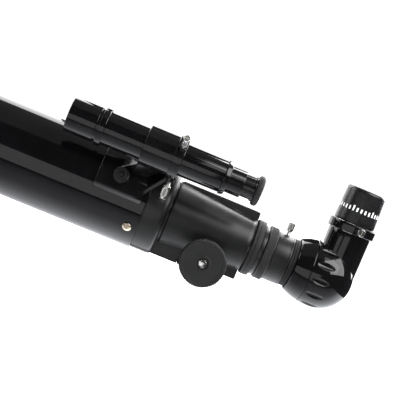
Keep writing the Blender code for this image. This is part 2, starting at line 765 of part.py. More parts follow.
def make_prism():
    """The right-angle prism that turns the light up, and the holder behind its long face."""
    left = EYEPIECE_X - PRISM_HALF_SIDE
    right = EYEPIECE_X + PRISM_HALF_SIDE
    low = -PRISM_HALF_SIDE
    outline = [(left, low), (right, PRISM_HALF_SIDE), (left, PRISM_HALF_SIDE)]
    mesh = outline_mesh("prism", outline, PRISM_HALF_WIDTH)
    add_piece("prism", mesh, "glass", optical_axis)
    bottom = low - PRISM_HOLDER_DEPTH
    top = PRISM_HOLDER_TOP
    holder_outline = [(left, bottom), (left + top - bottom, top), (left, top)]
    holder_mesh = outline_mesh("prism_holder", holder_outline, PRISM_HALF_WIDTH + 1.5)
    holder = add_piece("prism_holder", holder_mesh, "matte_black", optical_axis)
    foot = rod_mesh("holder_foot", 3.0, -23.2, -9.0, segments=COARSE)
    boolean(holder, add_tool("holder_foot", foot, optical_axis, (left + 5.5, 0, 0)), "UNION")
    spare = 5.0
    lowered = GAP * math.sqrt(2)
    room = [
        (left - spare, low - spare - lowered),
        (right + spare, PRISM_HALF_SIDE + spare - lowered),
        (left - spare, PRISM_HALF_SIDE + spare - lowered),
    ]
    room_mesh = outline_mesh("prism_room", room, PRISM_HALF_WIDTH + GAP)
    boolean(holder, add_tool("prism_room", room_mesh, optical_axis))


def make_socket_ring():
    ring = [
        (LIP_RADIUS - 0.4, LIP_TOP), (LIP_RADIUS, LIP_TOP - 0.4),
        (LIP_RADIUS, NECK_TOP + 0.7), (LIP_RADIUS - 0.4, NECK_TOP + GAP),
        (SOCKET_BORE, NECK_TOP + GAP), (SOCKET_BORE, LIP_TOP),
    ]
    socket_ring = turned("socket_ring", ring, "satin_black", eyepiece_axis, rotation=UPRIGHT)
    facing = (math.pi / 2, 0, math.radians(LIP_SCREW_ANGLE + 90))
    hole = hole_mesh("socket_screw_hole", 2.0, 12, 25)
    boolean(
        socket_ring,
        add_tool("socket_screw_hole", hole, eyepiece_axis, (0, 0, LIP_SCREW_Z), facing),
    )
    thumbscrew(
        "socket_thumbscrew", eyepiece_axis, (0, 0, LIP_SCREW_Z), facing,
        [1.7, 16.6, 20.8, 3.2, 27.0],
    )


def make_eyepiece():
    barrel = [
        (13.5, 55.0), (13.5, 49.0), (BARREL_RADIUS, 49.0), (BARREL_RADIUS, 20.0),
        (14.4, 20.0), (14.4, 47.0), (12.2, 47.0), (12.2, 55.0),
    ]
    turned("eyepiece_barrel", barrel, "chrome", eyepiece_axis, rotation=UPRIGHT)
    body = [
        (11.5, EYEPIECE_TOP), (14.7, EYEPIECE_TOP), (EYEPIECE_TOP_RADIUS, EYEPIECE_TOP - 1.6),
        (EYEPIECE_RADIUS, EYEPIECE_BOTTOM), (13.8, EYEPIECE_BOTTOM), (13.8, 56.0),
        (12.5, 56.0), (12.5, 71.5), (9.5, 73.0),
    ]
    turned("eyepiece_body", body, "satin_black", eyepiece_axis, rotation=UPRIGHT)
    field = lens_profile(12.0, 58.0, 60.0, 62.0, -60.0)
    turned("eyepiece_field_lens", field, "glass", eyepiece_axis, rotation=UPRIGHT)
    eye = lens_profile(12.0, 66.0, 40.0, 70.5, -60.0)
    turned("eyepiece_eye_lens", eye, "glass", eyepiece_axis, rotation=UPRIGHT)


def make_finder():
    tube = [
        (12.5, 47.2), (13.2, -56.6), (12.0, -56.6), (12.0, -64.0), (11.0, -64.0), (11.0, 47.2),
    ]
    turned("finder_tube", tube, "gloss_black", finder_axis)
    cell = [
        (13.9, -56.9), (13.9, -79.8), (12.8, -79.8), (12.8, -70.0),
        (11.4, -70.0), (11.4, -65.0), (12.3, -65.0), (12.3, -56.9),
    ]
    turned("finder_objective_cell", cell, "gloss_black", finder_axis)
    lens = lens_profile(12.5, -75.0, 90.0, -72.0, -90.0)
    turned("finder_objective_lens", lens, "glass", finder_axis)
    lock_ring = [(14.95, -50.0), (14.95, -55.0), (13.5, -55.0), (13.5, -50.0)]
    turned("finder_lock_ring", lock_ring, "gloss_black", finder_axis)
    eye_tube = [
        (10.4, 63.8), (10.4, 51.4), (12.9, 51.2), (13.6, 48.2), (13.6, 47.5),
        (10.7, 47.5), (10.7, 40.0), (9.2, 40.0), (9.2, 63.8),
    ]
    turned("finder_eye_tube", eye_tube, "satin_black", finder_axis)
    eyepiece = [(9.6, 73.5), (9.6, 71.9), (8.8, 71.9), (8.8, 44.0), (7.5, 44.0), (7.5, 73.5)]
    turned("finder_eyepiece", eyepiece, "satin_black", finder_axis)
    eye_lens = lens_profile(7.2, 64.5, 25.0, 68.5, -25.0)
    turned("finder_eye_lens", eye_lens, "glass", finder_axis, steps=COARSE)
    cup = [
        (10.6, 78.8), (11.9, 77.6), (11.9, 74.8), (11.0, 73.8),
        (7.2, 73.8), (7.2, 70.0), (5.2, 70.0), (5.2, 78.8),
    ]
    turned("finder_eyecup", cup, "rubber", finder_axis)
    ring = [(10.7, 32.0), (10.7, 30.0), (9.2, 30.0), (9.2, 32.0)]
    reticle = turned("finder_reticle", ring, "matte_black", finder_axis, steps=COARSE)
    for name, low, high in (
        ("level_wire", (30.8, -10, -0.2), (31.2, 10, 0.2)),
        ("upright_wire", (30.8, -0.2, -10), (31.2, 0.2, 10)),
    ):
        boolean(reticle, add_tool(name, box_mesh(name, low, high), finder_axis), "UNION")


def make_bracket():
    """The finder's bracket in one casting: saddle foot, stem, sleeve and the band for the screws."""
    saddle_depth = 20.0
    foot = box_mesh(
        "finder_bracket",
        (SADDLE_FRONT, -SADDLE_HALF_WIDTH, SADDLE_OUTER - saddle_depth),
        (SADDLE_REAR, SADDLE_HALF_WIDTH, SADDLE_OUTER + 5),
    )
    bracket = add_piece("finder_bracket", foot, "satin_black", saddle_axis)
    length = SADDLE_REAR - SADDLE_FRONT
    at = (SADDLE_FRONT + length / 2, 0, 0)
    round_top = rod_mesh("saddle_top", SADDLE_OUTER, -length, length, segments=FINE)
    boolean(bracket, add_tool("saddle_top", round_top, saddle_axis, at, ALONG_X), "INTERSECT")
    sleeve = [
        (0, BAND_REAR), (BAND_RADIUS, BAND_REAR), (BAND_RADIUS, SLEEVE_REAR),
        (SLEEVE_RADIUS, SLEEVE_REAR), (SLEEVE_RADIUS, SLEEVE_FRONT), (0, SLEEVE_FRONT),
    ]
    boolean(bracket, turned_tool("sleeve", sleeve, finder_axis, steps=FINE), "UNION")
    stem = outline_mesh("stem", STEM_OUTLINE, STEM_HALF_WIDTH)
    boolean(bracket, add_tool("stem", stem, saddle_axis), "UNION")
    boolean(bracket, add_tool("gusset", gusset_mesh(), saddle_axis), "UNION")
    hollow = rod_mesh("saddle_hollow", SADDLE_INNER, -60, 60, segments=FINE)
    boolean(bracket, add_tool("saddle_hollow", hollow, saddle_axis, at, ALONG_X))
    groove = SLEEVE_BORE + 0.8
    bore = [
        (0, BAND_REAR + 3), (SLEEVE_BORE, BAND_REAR + 3), (SLEEVE_BORE, O_RING_AT + 1.3),
        (groove, O_RING_AT + 1.3), (groove, O_RING_AT - 1.3), (SLEEVE_BORE, O_RING_AT - 1.3),
        (SLEEVE_BORE, SLEEVE_FRONT - 3), (0, SLEEVE_FRONT - 3),
    ]
    make_o_ring()
    make_finder_screws(bracket)
    make_bracket_nuts(bracket)
    boolean(bracket, turned_tool("sleeve_bore", bore, finder_axis, steps=FINE))


def gusset_mesh():
    """The web that leans back from the saddle's rear edge to the sleeve, wide below, narrow above."""
    mesh = box_mesh("gusset", (-2, -9, WEB_BOTTOM), (2, 9, WEB_TOP))
    for corner in mesh.vertices:
        upper = corner.co.z > (WEB_BOTTOM + WEB_TOP) / 2 * MM
        corner.co.x += (10.0 if upper else -10.0) * MM
        corner.co.y *= 1.0 if upper else 25.0 / 9.0
    return mesh


def make_o_ring():
    bpy.ops.mesh.primitive_torus_add(
        major_segments=MEDIUM, minor_segments=6, major_radius=13.85 * MM, minor_radius=0.6 * MM
    )
    made = bpy.context.object
    mesh = made.data
    bpy.data.objects.remove(made)
    mesh.shade_smooth()
    add_piece("finder_o_ring", mesh, "rubber", finder_axis, (O_RING_AT, 0, 0), ALONG_X)


def make_finder_screws(bracket):
    for number, angle in enumerate(FINDER_SCREW_ANGLES, start=1):
        facing = around_x(angle)
        boss = rod_mesh(f"screw_boss_{number}", SCREW_BOSS_RADIUS, 14.5, SCREW_BOSS_TOP)
        tool = add_tool(boss.name, boss, finder_axis, (FINDER_SCREW_AT, 0, 0), facing)
        boolean(bracket, tool, "UNION")
        hole = hole_mesh(f"finder_screw_hole_{number}", 1.8, 10, 22)
        tool = add_tool(hole.name, hole, finder_axis, (FINDER_SCREW_AT, 0, 0), facing)
        boolean(bracket, tool)
        thumbscrew(
            f"finder_screw_{number}", finder_axis, (FINDER_SCREW_AT, 0, 0), facing,
            [1.5, 13.75, 23.1, 3.0, 33.5],
        )


def make_bracket_nuts(bracket):
    """Studs that stand out of the tube through the saddle, each with a round nut on it."""
    nut = [(NUT_RADIUS - 0.6, 47.0), (NUT_RADIUS, 46.4), (NUT_RADIUS, 42.1), (2.3, 42.1), (2.3, 47.0)]
    stud = [
        (0, 46.2), (2.0, 46.2), (2.0, 36.3), (4.0, 36.3), (4.0, 34.2), (0, 34.2),
    ]
    for name, angle in NUT_ANGLES.items():
        facing = around_x(angle)
        hole = hole_mesh(f"saddle_hole_{name}", 2.3, 35, 45)
        boolean(bracket, add_tool(hole.name, hole, saddle_axis, (NUT_AT, 0, 0), facing))
        place_at = (NUT_AT, 0, 0)
        turned(f"bracket_stud_{name}", stud, "steel", saddle_axis, place_at, facing, COARSE)
        turned(f"bracket_nut_{name}", nut, "satin_black", saddle_axis, place_at, facing, COARSE)


clear_scene()
parts = new_collection("refractor_telescope")
cutters = new_collection("cutters")
optical_axis = empty("optical_axis", None, (REAR_END, 0, AXIS_HEIGHT))
eyepiece_axis = empty("eyepiece_axis", optical_axis, (EYEPIECE_X, 0, 0))
saddle_axis = empty("saddle_axis", optical_axis, (0, 0, 0), (FINDER_TILT, 0, 0))
finder_axis = empty("finder_axis", saddle_axis, (0, 0, FINDER_DISTANCE))

make_tube()
make_objective()
make_dovetail()
make_housing()
make_drawtube()
make_pinion()
make_diagonal()
make_eyepiece()
make_finder()
make_bracket()
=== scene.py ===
"""The finish and the studio of the refractor telescope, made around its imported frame.

Lengths are in millimetres until MM turns them into metres. A round piece is an outline of
(radius, place) corners turned about its own axis; a third value in a corner rounds it off.
Places along the tube are counted from its rear end.
"""

import math

import bmesh
import bpy
from mathutils import Matrix, Vector


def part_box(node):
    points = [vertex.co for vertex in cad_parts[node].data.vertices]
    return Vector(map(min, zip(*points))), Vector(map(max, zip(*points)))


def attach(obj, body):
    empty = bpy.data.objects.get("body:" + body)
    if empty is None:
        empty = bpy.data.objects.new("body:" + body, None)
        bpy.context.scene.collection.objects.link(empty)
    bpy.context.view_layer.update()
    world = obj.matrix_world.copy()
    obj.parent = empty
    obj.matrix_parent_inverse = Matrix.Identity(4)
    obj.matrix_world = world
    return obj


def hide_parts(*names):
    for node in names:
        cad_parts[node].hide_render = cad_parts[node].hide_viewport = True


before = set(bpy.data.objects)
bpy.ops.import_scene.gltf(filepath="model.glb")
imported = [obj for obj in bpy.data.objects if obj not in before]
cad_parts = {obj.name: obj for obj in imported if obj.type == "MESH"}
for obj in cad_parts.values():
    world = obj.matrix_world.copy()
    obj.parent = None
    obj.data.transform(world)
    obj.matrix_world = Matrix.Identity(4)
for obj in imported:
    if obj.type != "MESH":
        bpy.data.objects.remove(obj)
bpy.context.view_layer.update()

MM = 0.001
SMALL = 48
ROUND = 96
FINE = 192
ROUNDING_STEPS = 5
SHARP = math.radians(32)


# Places and sizes, read from the frame

def ends(node):
    """The low and the high corner of a node's box."""
    return [Vector(corner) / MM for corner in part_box(node)]


TUBE_LOW, TUBE_HIGH = ends("main_tube")
REAR = TUBE_HIGH.x
AXIS_HEIGHT = (TUBE_LOW.z + TUBE_HIGH.z) / 2
TUBE_RADIUS = (TUBE_HIGH.z - TUBE_LOW.z) / 2
TUBE_WALL = 1.2
GAP = 0.3
SPIGOT = TUBE_RADIUS - TUBE_WALL - GAP
SEAT = TUBE_RADIUS + GAP
SOCKET_BORE = 16.15
BARREL_RADIUS = 15.85
SATIN = "satin_black_plastic"


def along(node):
    """Where a node starts and ends along the optical axis, counted from the tube's rear end."""
    return [corner.x - REAR for corner in ends(node)]


def heights(node):
    """Where a node starts and ends above the optical axis."""
    return [corner.z - AXIS_HEIGHT for corner in ends(node)]


def radius(node):
    """The outer radius of a node that is turned about a level axis along X."""
    low, high = ends(node)
    size = high - low
    return max(size.y, size.z) / 2


def span(node):
    return *along(node), radius(node)


def middle(node):
    low, high = ends(node)
    return (low + high) / 2


def outward(point):
    """The way from the optical axis to a point beside it."""
    return Vector((0, point.y, point.z - AXIS_HEIGHT)).normalized()


def axis(origin, direction, up):
    """The place of a turned piece: its axis runs along the direction, and its angle 0 points up."""
    forward = Vector(direction).normalized()
    top = Vector(up).normalized()
    side = forward.cross(top)
    turn = Matrix((top, side, forward)).transposed().to_4x4()
    return Matrix.Translation(Vector(origin) * MM) @ turn


OPTICAL = axis((REAR, 0, AXIS_HEIGHT), (1, 0, 0), (0, 0, 1))
FINDER_CENTRE = middle("finder_tube")
FINDER_OUT = outward(FINDER_CENTRE)
FINDER = axis((REAR, FINDER_CENTRE.y, FINDER_CENTRE.z), (1, 0, 0), FINDER_OUT)
EYEPIECE_X = middle("socket_ring").x
EYEPIECE = axis((EYEPIECE_X, 0, AXIS_HEIGHT), (0, 0, 1), (1, 0, 0))
KNOB_CENTRE = middle("focus_knob_left")


# Shapes

def rounded(corners):
    """The outline with each corner that has a third value cut back by that much and rounded."""
    points = []
    count = len(corners)
    for i, corner in enumerate(corners):
        here = Vector(corner[:2])
        if len(corner) == 2:
            points.append(here)
            continue
        before = Vector(corners[i - 1][:2])
        after = Vector(corners[(i + 1) % count][:2])
        start = here + (before - here).normalized() * corner[2]
        end = here + (after - here).normalized() * corner[2]
        for step in range(ROUNDING_STEPS + 1):
            t = step / ROUNDING_STEPS
            points.append(start * (1 - t) ** 2 + here * 2 * t * (1 - t) + end * t ** 2)
    return points


def stretch(first, last, count):
    """Evenly spaced corners from the first to the last, for a stretch that carries a pattern."""
    return [
        tuple(a + (b - a) * i / count for a, b in zip(first, last)) for i in range(count + 1)
    ]


def finish_mesh(name, shape, place):
    bmesh.ops.recalc_face_normals(shape, faces=shape.faces)
    mesh = bpy.data.meshes.new(name)
    shape.to_mesh(mesh)
    shape.free()
    mesh.transform(place)
    mesh.shade_smooth()
    mesh.set_sharp_from_angle(angle=SHARP)
    return mesh


def lathe(name, corners, place, steps=ROUND, form=None):
    """A turned mesh. Form, if given, moves a point by its angle, radius and place on the axis."""
    shape = bmesh.new()
    rings = []
    for distance, height in rounded(corners):
        if distance == 0:
            rings.append([shape.verts.new((0, 0, height * MM))])
            continue
        ring = []
        for step in range(steps):
            angle = math.tau * step / steps
            r, z = form(angle, distance, height) if form else (distance, height)
            ring.append(shape.verts.new((r * math.cos(angle) * MM, r * math.sin(angle) * MM, z * MM)))
        rings.append(ring)
    pairs = list(zip(rings, rings[1:]))
    if corners[0][0] > 0:
        pairs.append((rings[-1], rings[0]))
    for a, b in pairs:
        for i in range(steps):
            j = (i + 1) % steps
            corners_of_face = [a[i % len(a)], a[j % len(a)], b[j % len(b)], b[i % len(b)]]
            shape.faces.new(list(dict.fromkeys(corners_of_face)))
    return finish_mesh(name, shape, place)


def rod(name, half_width, top, bottom, place, steps=SMALL):
    """A plain round bar, for the most part one that cuts a hole."""
    corners = [(0, top), (half_width, top), (half_width, bottom), (0, bottom)]
    return lathe(name, corners, place, steps)


def soften(shape, width, segments=3):
    """Rounds every edge where two faces meet at a clear angle."""
    edges = [e for e in shape.edges if len(e.link_faces) == 2 and e.calc_face_angle() > SHARP]
    bmesh.ops.bevel(
        shape, geom=edges, offset=width * MM, segments=segments, profile=0.5,
        affect="EDGES", clamp_overlap=True,
    )


def block(name, low, high, place, edge=0.5):
    """A box between two corners with rounded edges."""
    shape = bmesh.new()
    bmesh.ops.create_cube(shape, size=1.0)
    size = [(b - a) * MM for a, b in zip(low, high)]
    centre = [(a + b) / 2 * MM for a, b in zip(low, high)]
    bmesh.ops.scale(shape, vec=size, verts=shape.verts)
    bmesh.ops.translate(shape, vec=centre, verts=shape.verts)
    if edge:
        soften(shape, edge)
    return finish_mesh(name, shape, place)


def prism(name, outline, low, high, place, edge=0.0):
    """A flat outline of (x, y) points given a thickness along z, with rounded edges."""
    shape = bmesh.new()
    base = [shape.verts.new((x * MM, y * MM, low * MM)) for x, y in outline]
    face = shape.faces.new(base)
    grown = bmesh.ops.extrude_face_region(shape, geom=[face])["geom"]
    top = [v for v in grown if isinstance(v, bmesh.types.BMVert)]
    bmesh.ops.translate(shape, vec=(0, 0, (high - low) * MM), verts=top)
    bmesh.ops.recalc_face_normals(shape, faces=shape.faces)
    if edge:
        soften(shape, edge)
    return finish_mesh(name, shape, place)


def new_object(name, data):
    made = bpy.data.objects.new(name, data)
    bpy.context.scene.collection.objects.link(made)
    return made


def combine(mesh, tools, operation):
    """The mesh with the tool meshes cut out of it or joined to it."""
    holder = new_object("combined", mesh)
    helpers = []
    for tool in tools:
        helpers.append(new_object("tool", tool))
        modifier = holder.modifiers.new("combine", "BOOLEAN")
        modifier.operation = operation
        modifier.object = helpers[-1]
    seen = bpy.context.evaluated_depsgraph_get()
    seen.update()
    result = bpy.data.meshes.new_from_object(holder.evaluated_get(seen))
    result.name = mesh.name
    for used in [holder] + helpers:
        bpy.data.objects.remove(used)
    result.shade_smooth()
    result.set_sharp_from_angle(angle=SHARP)
    return result


def cut(mesh, *tools):
    return combine(mesh, tools, "DIFFERENCE")


def join(mesh, *tools):
    return combine(mesh, tools, "UNION")


def piece(name, mesh, look, body, *nodes, slot=None):
    """Puts a finished piece on its body in place of the CAD nodes that it stands for."""
    made = new_object(name, mesh)
    mesh.materials.clear()
    mesh.materials.append(LOOKS[look])
    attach(made, body)
    if nodes:
        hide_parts(*nodes)


def stand_in(node, mesh, look, body, slot=None):
    """A finished piece in place of one CAD node."""
    piece(f"{node}_visual", mesh, look, body, node, slot=slot)


def turned_piece(node, corners, place, look, body, steps=FINE, form=None, slot=None):
    """A finished piece that is one turned mesh."""
    stand_in(node, lathe(node, corners, place, steps, form), look, body, slot)


def smooth_max(a, b, blend):
    """The larger of two values, with a fillet where they are nearly equal."""
    near = max(blend - abs(a - b), 0.0) / blend
    return max(a, b) + near * near * blend / 4


def smooth_min(a, b, blend):
    return -smooth_max(-a, -b, blend)


def polar_box(angle, half_width, reach, edge):
    """How far a box that stands on the axis reaches, by angle from the way that it points."""
    ahead = math.cos(angle)
    if ahead < 0.05:
        return 0.0
    side = half_width / max(abs(math.sin(angle)), 0.001)
    return smooth_min(min(side, 200.0), reach / ahead, edge)


# Patterns for turned pieces

def ribs(count, depth, low, high, inner=0.0):
    """Straight ribs along the axis, between two places, on what lies outside the inner radius."""
    def form(angle, distance, height):
        if distance > inner and low < height < high:
            ridge = 0.5 - 0.5 * math.cos(count * angle)
            distance -= depth * ridge
        return distance, height

    return form


def diamonds(count, depth, low, high, lead):
    """A diamond knurl between two places; lead is how much of a turn each line makes per mm."""
    def form(angle, distance, height):
        if low < height < high:
            right = abs(math.sin(count * (angle + lead * height) / 2))
            left = abs(math.sin(count * (angle - lead * height) / 2))
            distance -= depth * (1 - min(right, left)) ** 2
        return distance, height

    return form


# Screws

def cross_tools(place, top, reach, depth):
    """Two tapered bars that cut a cross-head recess."""
    width = reach * 0.30
    tools = []
    for turn in (0, math.pi / 2):
        bar = bmesh.new()
        bmesh.ops.create_cube(bar, size=1.0)
        bmesh.ops.scale(bar, vec=(2 * reach * MM, width * MM, 2 * depth * MM), verts=bar.verts)
        for corner in bar.verts:
            if corner.co.z < 0:
                corner.co.x *= 0.45
                corner.co.y *= 0.7
        turned = place @ Matrix.Rotation(turn, 4, "Z")
        bmesh.ops.translate(bar, vec=(0, 0, top * MM), verts=bar.verts)
        tools.append(finish_mesh("cross_tool", bar, turned))
    return tools


def cross_screw(node, place, head, look, body, slot=None):
    """A pan head with a cross recess, from its underside at 0 up, and a short plain shank."""
    size, height, shank, reach = head
    corners = [
        (0, height), (size * 0.45, height * 0.97), (size * 0.8, height * 0.80),
        (size, height * 0.42, 0.3), (size, 0, 0.12), (shank, 0), (shank, -reach), (0, -reach),
    ]
    mesh = lathe(node, corners, place, SMALL)
    mesh = cut(mesh, *cross_tools(place, height, size * 0.55, height * 0.62))
    stand_in(node, mesh, look, body, slot)


def knurled_thumbscrew(node, place, sizes, body):
    """A turned screw with a straight knurled head and a slot in its end."""
    shank, tip, head, head_radius, top = sizes
    low, high = head + 0.9, top - 0.9
    corners = [
        (0, top), (head_radius * 0.55, top), (head_radius * 0.62, top - 0.25),
        (head_radius * 0.78, top - 0.25), (head_radius * 0.83, top, 0.06),
        (head_radius - 0.1, top, 0.25),
    ]
    corners += stretch((head_radius, high + 0.2), (head_radius, low - 0.2), 8)
    corners += [
        (head_radius - 0.1, head, 0.35), (shank + 0.5, head), (shank + 0.5, head - 0.7, 0.2),
        (shank, head - 0.9),
    ]
    threads = int((head - 1.2 - tip) / 0.7)
    for i in range(threads):
        at = head - 1.2 - 0.7 * i
        corners += [(shank, at), (shank - 0.25, at - 0.35)]
    corners += [(shank - 0.25, tip + 0.3), (shank - 0.6, tip), (0, tip)]
    mesh = lathe(node, corners, place, 120, ribs(24, 0.22, low, high, shank + 0.6))
    slot = block(
        "slot", (-head_radius - 1, -0.35, top - 0.6), (head_radius + 1, 0.35, top + 1), place, edge=0
    )
    stand_in(node, cut(mesh, slot), "chrome", body)


# Materials

class Nodes:
    """A material's node tree with short calls for what the finishes share."""

    def __init__(self, name):
        self.material = bpy.data.materials.new(name)
        self.material.use_nodes = True
        self.tree = self.material.node_tree
        self.shader = self.tree.nodes["Principled BSDF"]
        self.where = self.tree.nodes.new("ShaderNodeTexCoord").outputs["Object"]

    def link(self, source, target):
        self.tree.links.new(source, target)

    def feed(self, value, socket):
        """Sets a socket to a plain value, or links an output to it."""
        if isinstance(value, bpy.types.NodeSocket):
            self.link(value, socket)
        else:
            socket.default_value = value

    def set(self, node=None, **values):
        for name, value in values.items():
            (node or self.shader).inputs[name.replace("_", " ")].default_value = value

    def add(self, kind, source, inlet, **values):
        """A new node with its values, fed from the source."""
        node = self.tree.nodes.new(f"ShaderNode{kind}")
        self.set(node, **values)
        self.link(source, node.inputs[inlet])
        return node.outputs

    def noise(self, scale, detail=3.0, stretch_by=None):
        source = self.where
        if stretch_by:
            source = self.add("Mapping", source, "Vector", Scale=stretch_by)["Vector"]
        return self.add("TexNoise", source, "Vector", Scale=scale, Detail=detail)["Fac"]

    def cells(self, scale):
        return self.add("TexVoronoi", self.where, "Vector", Scale=scale)["Distance"]

    def ramp(self, source, from_low, from_high, to_low, to_high):
        ends = {"From Min": from_low, "From Max": from_high, "To Min": to_low, "To Max": to_high}
        return self.add("MapRange", source, "Value", **ends)["Result"]

    def places(self):
        return self.add("SeparateXYZ", self.where, "Vector")

    def math(self, operation, *values):
        node = self.tree.nodes.new("ShaderNodeMath")
        node.operation = operation
        for socket, value in zip(node.inputs, values):
            self.feed(value, socket)
        return node.outputs["Value"]

    def blend(self, factor, first, second):
        node = self.tree.nodes.new("ShaderNodeMix")
        node.data_type = "RGBA"
        self.link(factor, node.inputs["Factor"])
        for slot, value in (("A", first), ("B", second)):
            socket = next(s for s in node.inputs if s.name == slot and s.type == "RGBA")
            self.feed((*value, 1.0) if isinstance(value, tuple) else value, socket)
        return next(s for s in node.outputs if s.type == "RGBA")

    def bump(self, source, strength, distance, below=None):
        outputs = self.add("Bump", source, "Height", Strength=strength, Distance=distance)
        if below:
            self.link(below, outputs["Normal"].node.inputs["Normal"])
        return outputs["Normal"]

    def surface(self, colour, roughness, normal):
        self.link(colour, self.shader.inputs["Base Color"])
        self.link(roughness, self.shader.inputs["Roughness"])
        self.link(normal, self.shader.inputs["Normal"])


def gloss_look(name, colour, roughness, peel):
    """Black gloss: a faint ripple in the coat, a light haze in patches and a few dust specks."""
    n = Nodes(name)
    n.set(IOR=1.5, Metallic=0.0)
    haze = n.noise(45.0, 4.0)
    dust = n.ramp(n.cells(900.0), 0.0, 0.045, 1.0, 0.0)
    specks = n.math("MULTIPLY", dust, n.ramp(n.noise(60.0, 2.0), 0.55, 0.75, 0.0, 0.8))
    tint = n.blend(n.ramp(haze, 0.35, 0.7, 0.0, 1.0), colour, tuple(c * 1.6 for c in colour))
    tone = n.blend(specks, tint, (0.10, 0.10, 0.10))
    rough = n.math(
        "ADD", n.ramp(haze, 0.3, 0.75, roughness * 0.8, roughness * 1.5),
        n.math("MULTIPLY", specks, 0.25),
    )
    ripple = n.bump(n.noise(420.0, 2.0), peel, 0.00004)
    n.surface(tone, rough, ripple)
    return n


def grained_look(name, colour, roughness, grain, grain_scale=2600.0):
    """Moulded or cast black with a fine grain, a little uneven in tone and gloss."""
    n = Nodes(name)
    n.set(IOR=1.48, Metallic=0.0)
    patches = n.noise(70.0, 4.0)
    fine = n.noise(grain_scale, 3.0)
    tone = n.blend(
        n.ramp(patches, 0.3, 0.7, 0.0, 1.0), tuple(c * 0.8 for c in colour),
        tuple(c * 1.35 for c in colour),
    )
    rough = n.math(
        "ADD", n.ramp(patches, 0.3, 0.7, roughness * 0.88, roughness * 1.12),
        n.ramp(fine, 0.3, 0.7, -0.04, 0.04),
    )
    coarse = n.bump(n.noise(grain_scale * 0.35, 2.0), grain * 0.5, 0.00003)
    n.surface(tone, rough, n.bump(fine, grain, 0.00003, coarse))
    return n


def metal_look(name, colour, roughness, tarnish):
    """Plated or turned metal: fine scratches across it, and duller patches."""
    n = Nodes(name)
    n.set(Metallic=1.0)
    patches = n.noise(160.0, 4.0)
    scratches = n.noise(900.0, 4.0, (1.0, 6.0, 1.0))
    tone = n.blend(n.ramp(patches, 0.4, 0.75, 0.0, 1.0), colour, tarnish)
    rough = n.math(
        "ADD", n.ramp(patches, 0.3, 0.7, roughness * 0.8, roughness * 1.35),
        n.ramp(scratches, 0.35, 0.7, -0.03, 0.05),
    )
    n.surface(tone, rough, n.bump(scratches, 0.12, 0.00002))
    return n


def glass_look(name):
    """A coated lens: clear, faintly violet where it reflects, with a trace of dust."""
    n = Nodes(name)
    n.set(IOR=1.52, Metallic=0.0, Transmission_Weight=1.0)
    n.set(Specular_Tint=(0.62, 0.50, 0.95, 1.0))
    dust = n.ramp(n.cells(700.0), 0.0, 0.05, 1.0, 0.0)
    film = n.noise(60.0, 3.0)
    tone = n.blend(n.math("MULTIPLY", dust, 0.3), (0.93, 0.96, 0.98), (0.6, 0.6, 0.6))
    rough = n.math("ADD", n.ramp(film, 0.4, 0.8, 0.0, 0.03), n.math("MULTIPLY", dust, 0.3))
    n.surface(tone, rough, n.bump(film, 0.02, 0.00002))
    return n


def marked_look(name, colour, roughness, low, high, centre):
    """Satin black with a printed scale of white ticks round a band, every fifth one taller."""
    ticks = 30
    n = grained_look(name, colour, roughness, 0.25)
    parts = n.places()
    across = n.math("SUBTRACT", parts["X"], centre * MM)
    angle = n.math("ARCTAN2", parts["Y"], across)
    turn = n.math("MULTIPLY", angle, ticks / math.tau)
    count = n.math("ADD", turn, 100.0)
    tick = n.math("LESS_THAN", n.math("FRACT", count), 0.42)
    group = n.math("FRACT", n.math("MULTIPLY", n.math("FLOOR", count), 0.2))
    tall = n.math("LESS_THAN", group, 0.1)
    extra = n.math("MULTIPLY", tall, (high - low) * 0.28 * MM)
    top = n.math("ADD", (low + (high - low) * 0.72) * MM, extra)
    above = n.math("GREATER_THAN", parts["Z"], low * MM)
    below = n.math("LESS_THAN", parts["Z"], top)
    ink = n.math("MULTIPLY", n.math("MULTIPLY", tick, above), below)
    worn = n.math("MULTIPLY", ink, n.ramp(n.noise(1200.0, 3.0), 0.28, 0.36, 0.55, 1.0))
    base = n.shader.inputs["Base Color"].links[0].from_socket
    n.link(n.blend(worn, base, (0.82, 0.83, 0.83)), n.shader.inputs["Base Color"])
    return n


EYEPIECE_LOW, EYEPIECE_HIGH = heights("eyepiece_body")
BAND_LOW = AXIS_HEIGHT + EYEPIECE_LOW + 10.3
BAND_HIGH = BAND_LOW + 4.4

LOOKS = {}
for look_name, make_look, *look_values in (
    ("gloss_black_paint", gloss_look, (0.0015, 0.0015, 0.0018), 0.05, 0.05),
    ("gloss_black_plastic", gloss_look, (0.0018, 0.0018, 0.002), 0.045, 0.03),
    ("satin_black_plastic", grained_look, (0.0050, 0.0053, 0.0051), 0.36, 0.30),
    ("satin_black_metal", grained_look, (0.0025, 0.0025, 0.0028), 0.11, 0.06),
    ("knurled_black", grained_look, (0.009, 0.009, 0.009), 0.42, 0.30),
    ("knob_plastic", grained_look, (0.0070, 0.0074, 0.0072), 0.62, 0.55),
    ("matte_black", grained_look, (0.005, 0.005, 0.005), 0.75, 0.35),
    ("chrome", metal_look, (0.82, 0.82, 0.80), 0.14, (0.55, 0.54, 0.50)),
    ("warm_steel", metal_look, (0.80, 0.70, 0.56), 0.22, (0.52, 0.42, 0.30)),
    ("steel", metal_look, (0.52, 0.52, 0.50), 0.32, (0.34, 0.33, 0.31)),
    ("brushed_black", grained_look, (0.010, 0.010, 0.010), 0.30, 0.12),
    ("brass", metal_look, (0.72, 0.54, 0.26), 0.26, (0.42, 0.30, 0.14)),
    ("rubber", grained_look, (0.008, 0.008, 0.008), 0.66, 0.45, 1600.0),
    ("lens_glass", glass_look),
    ("marked_black", marked_look, (0.006, 0.006, 0.0066), 0.27, BAND_LOW, BAND_HIGH, EYEPIECE_X),
):
    LOOKS[look_name] = make_look(look_name, *look_values).material


# The tube and its front end

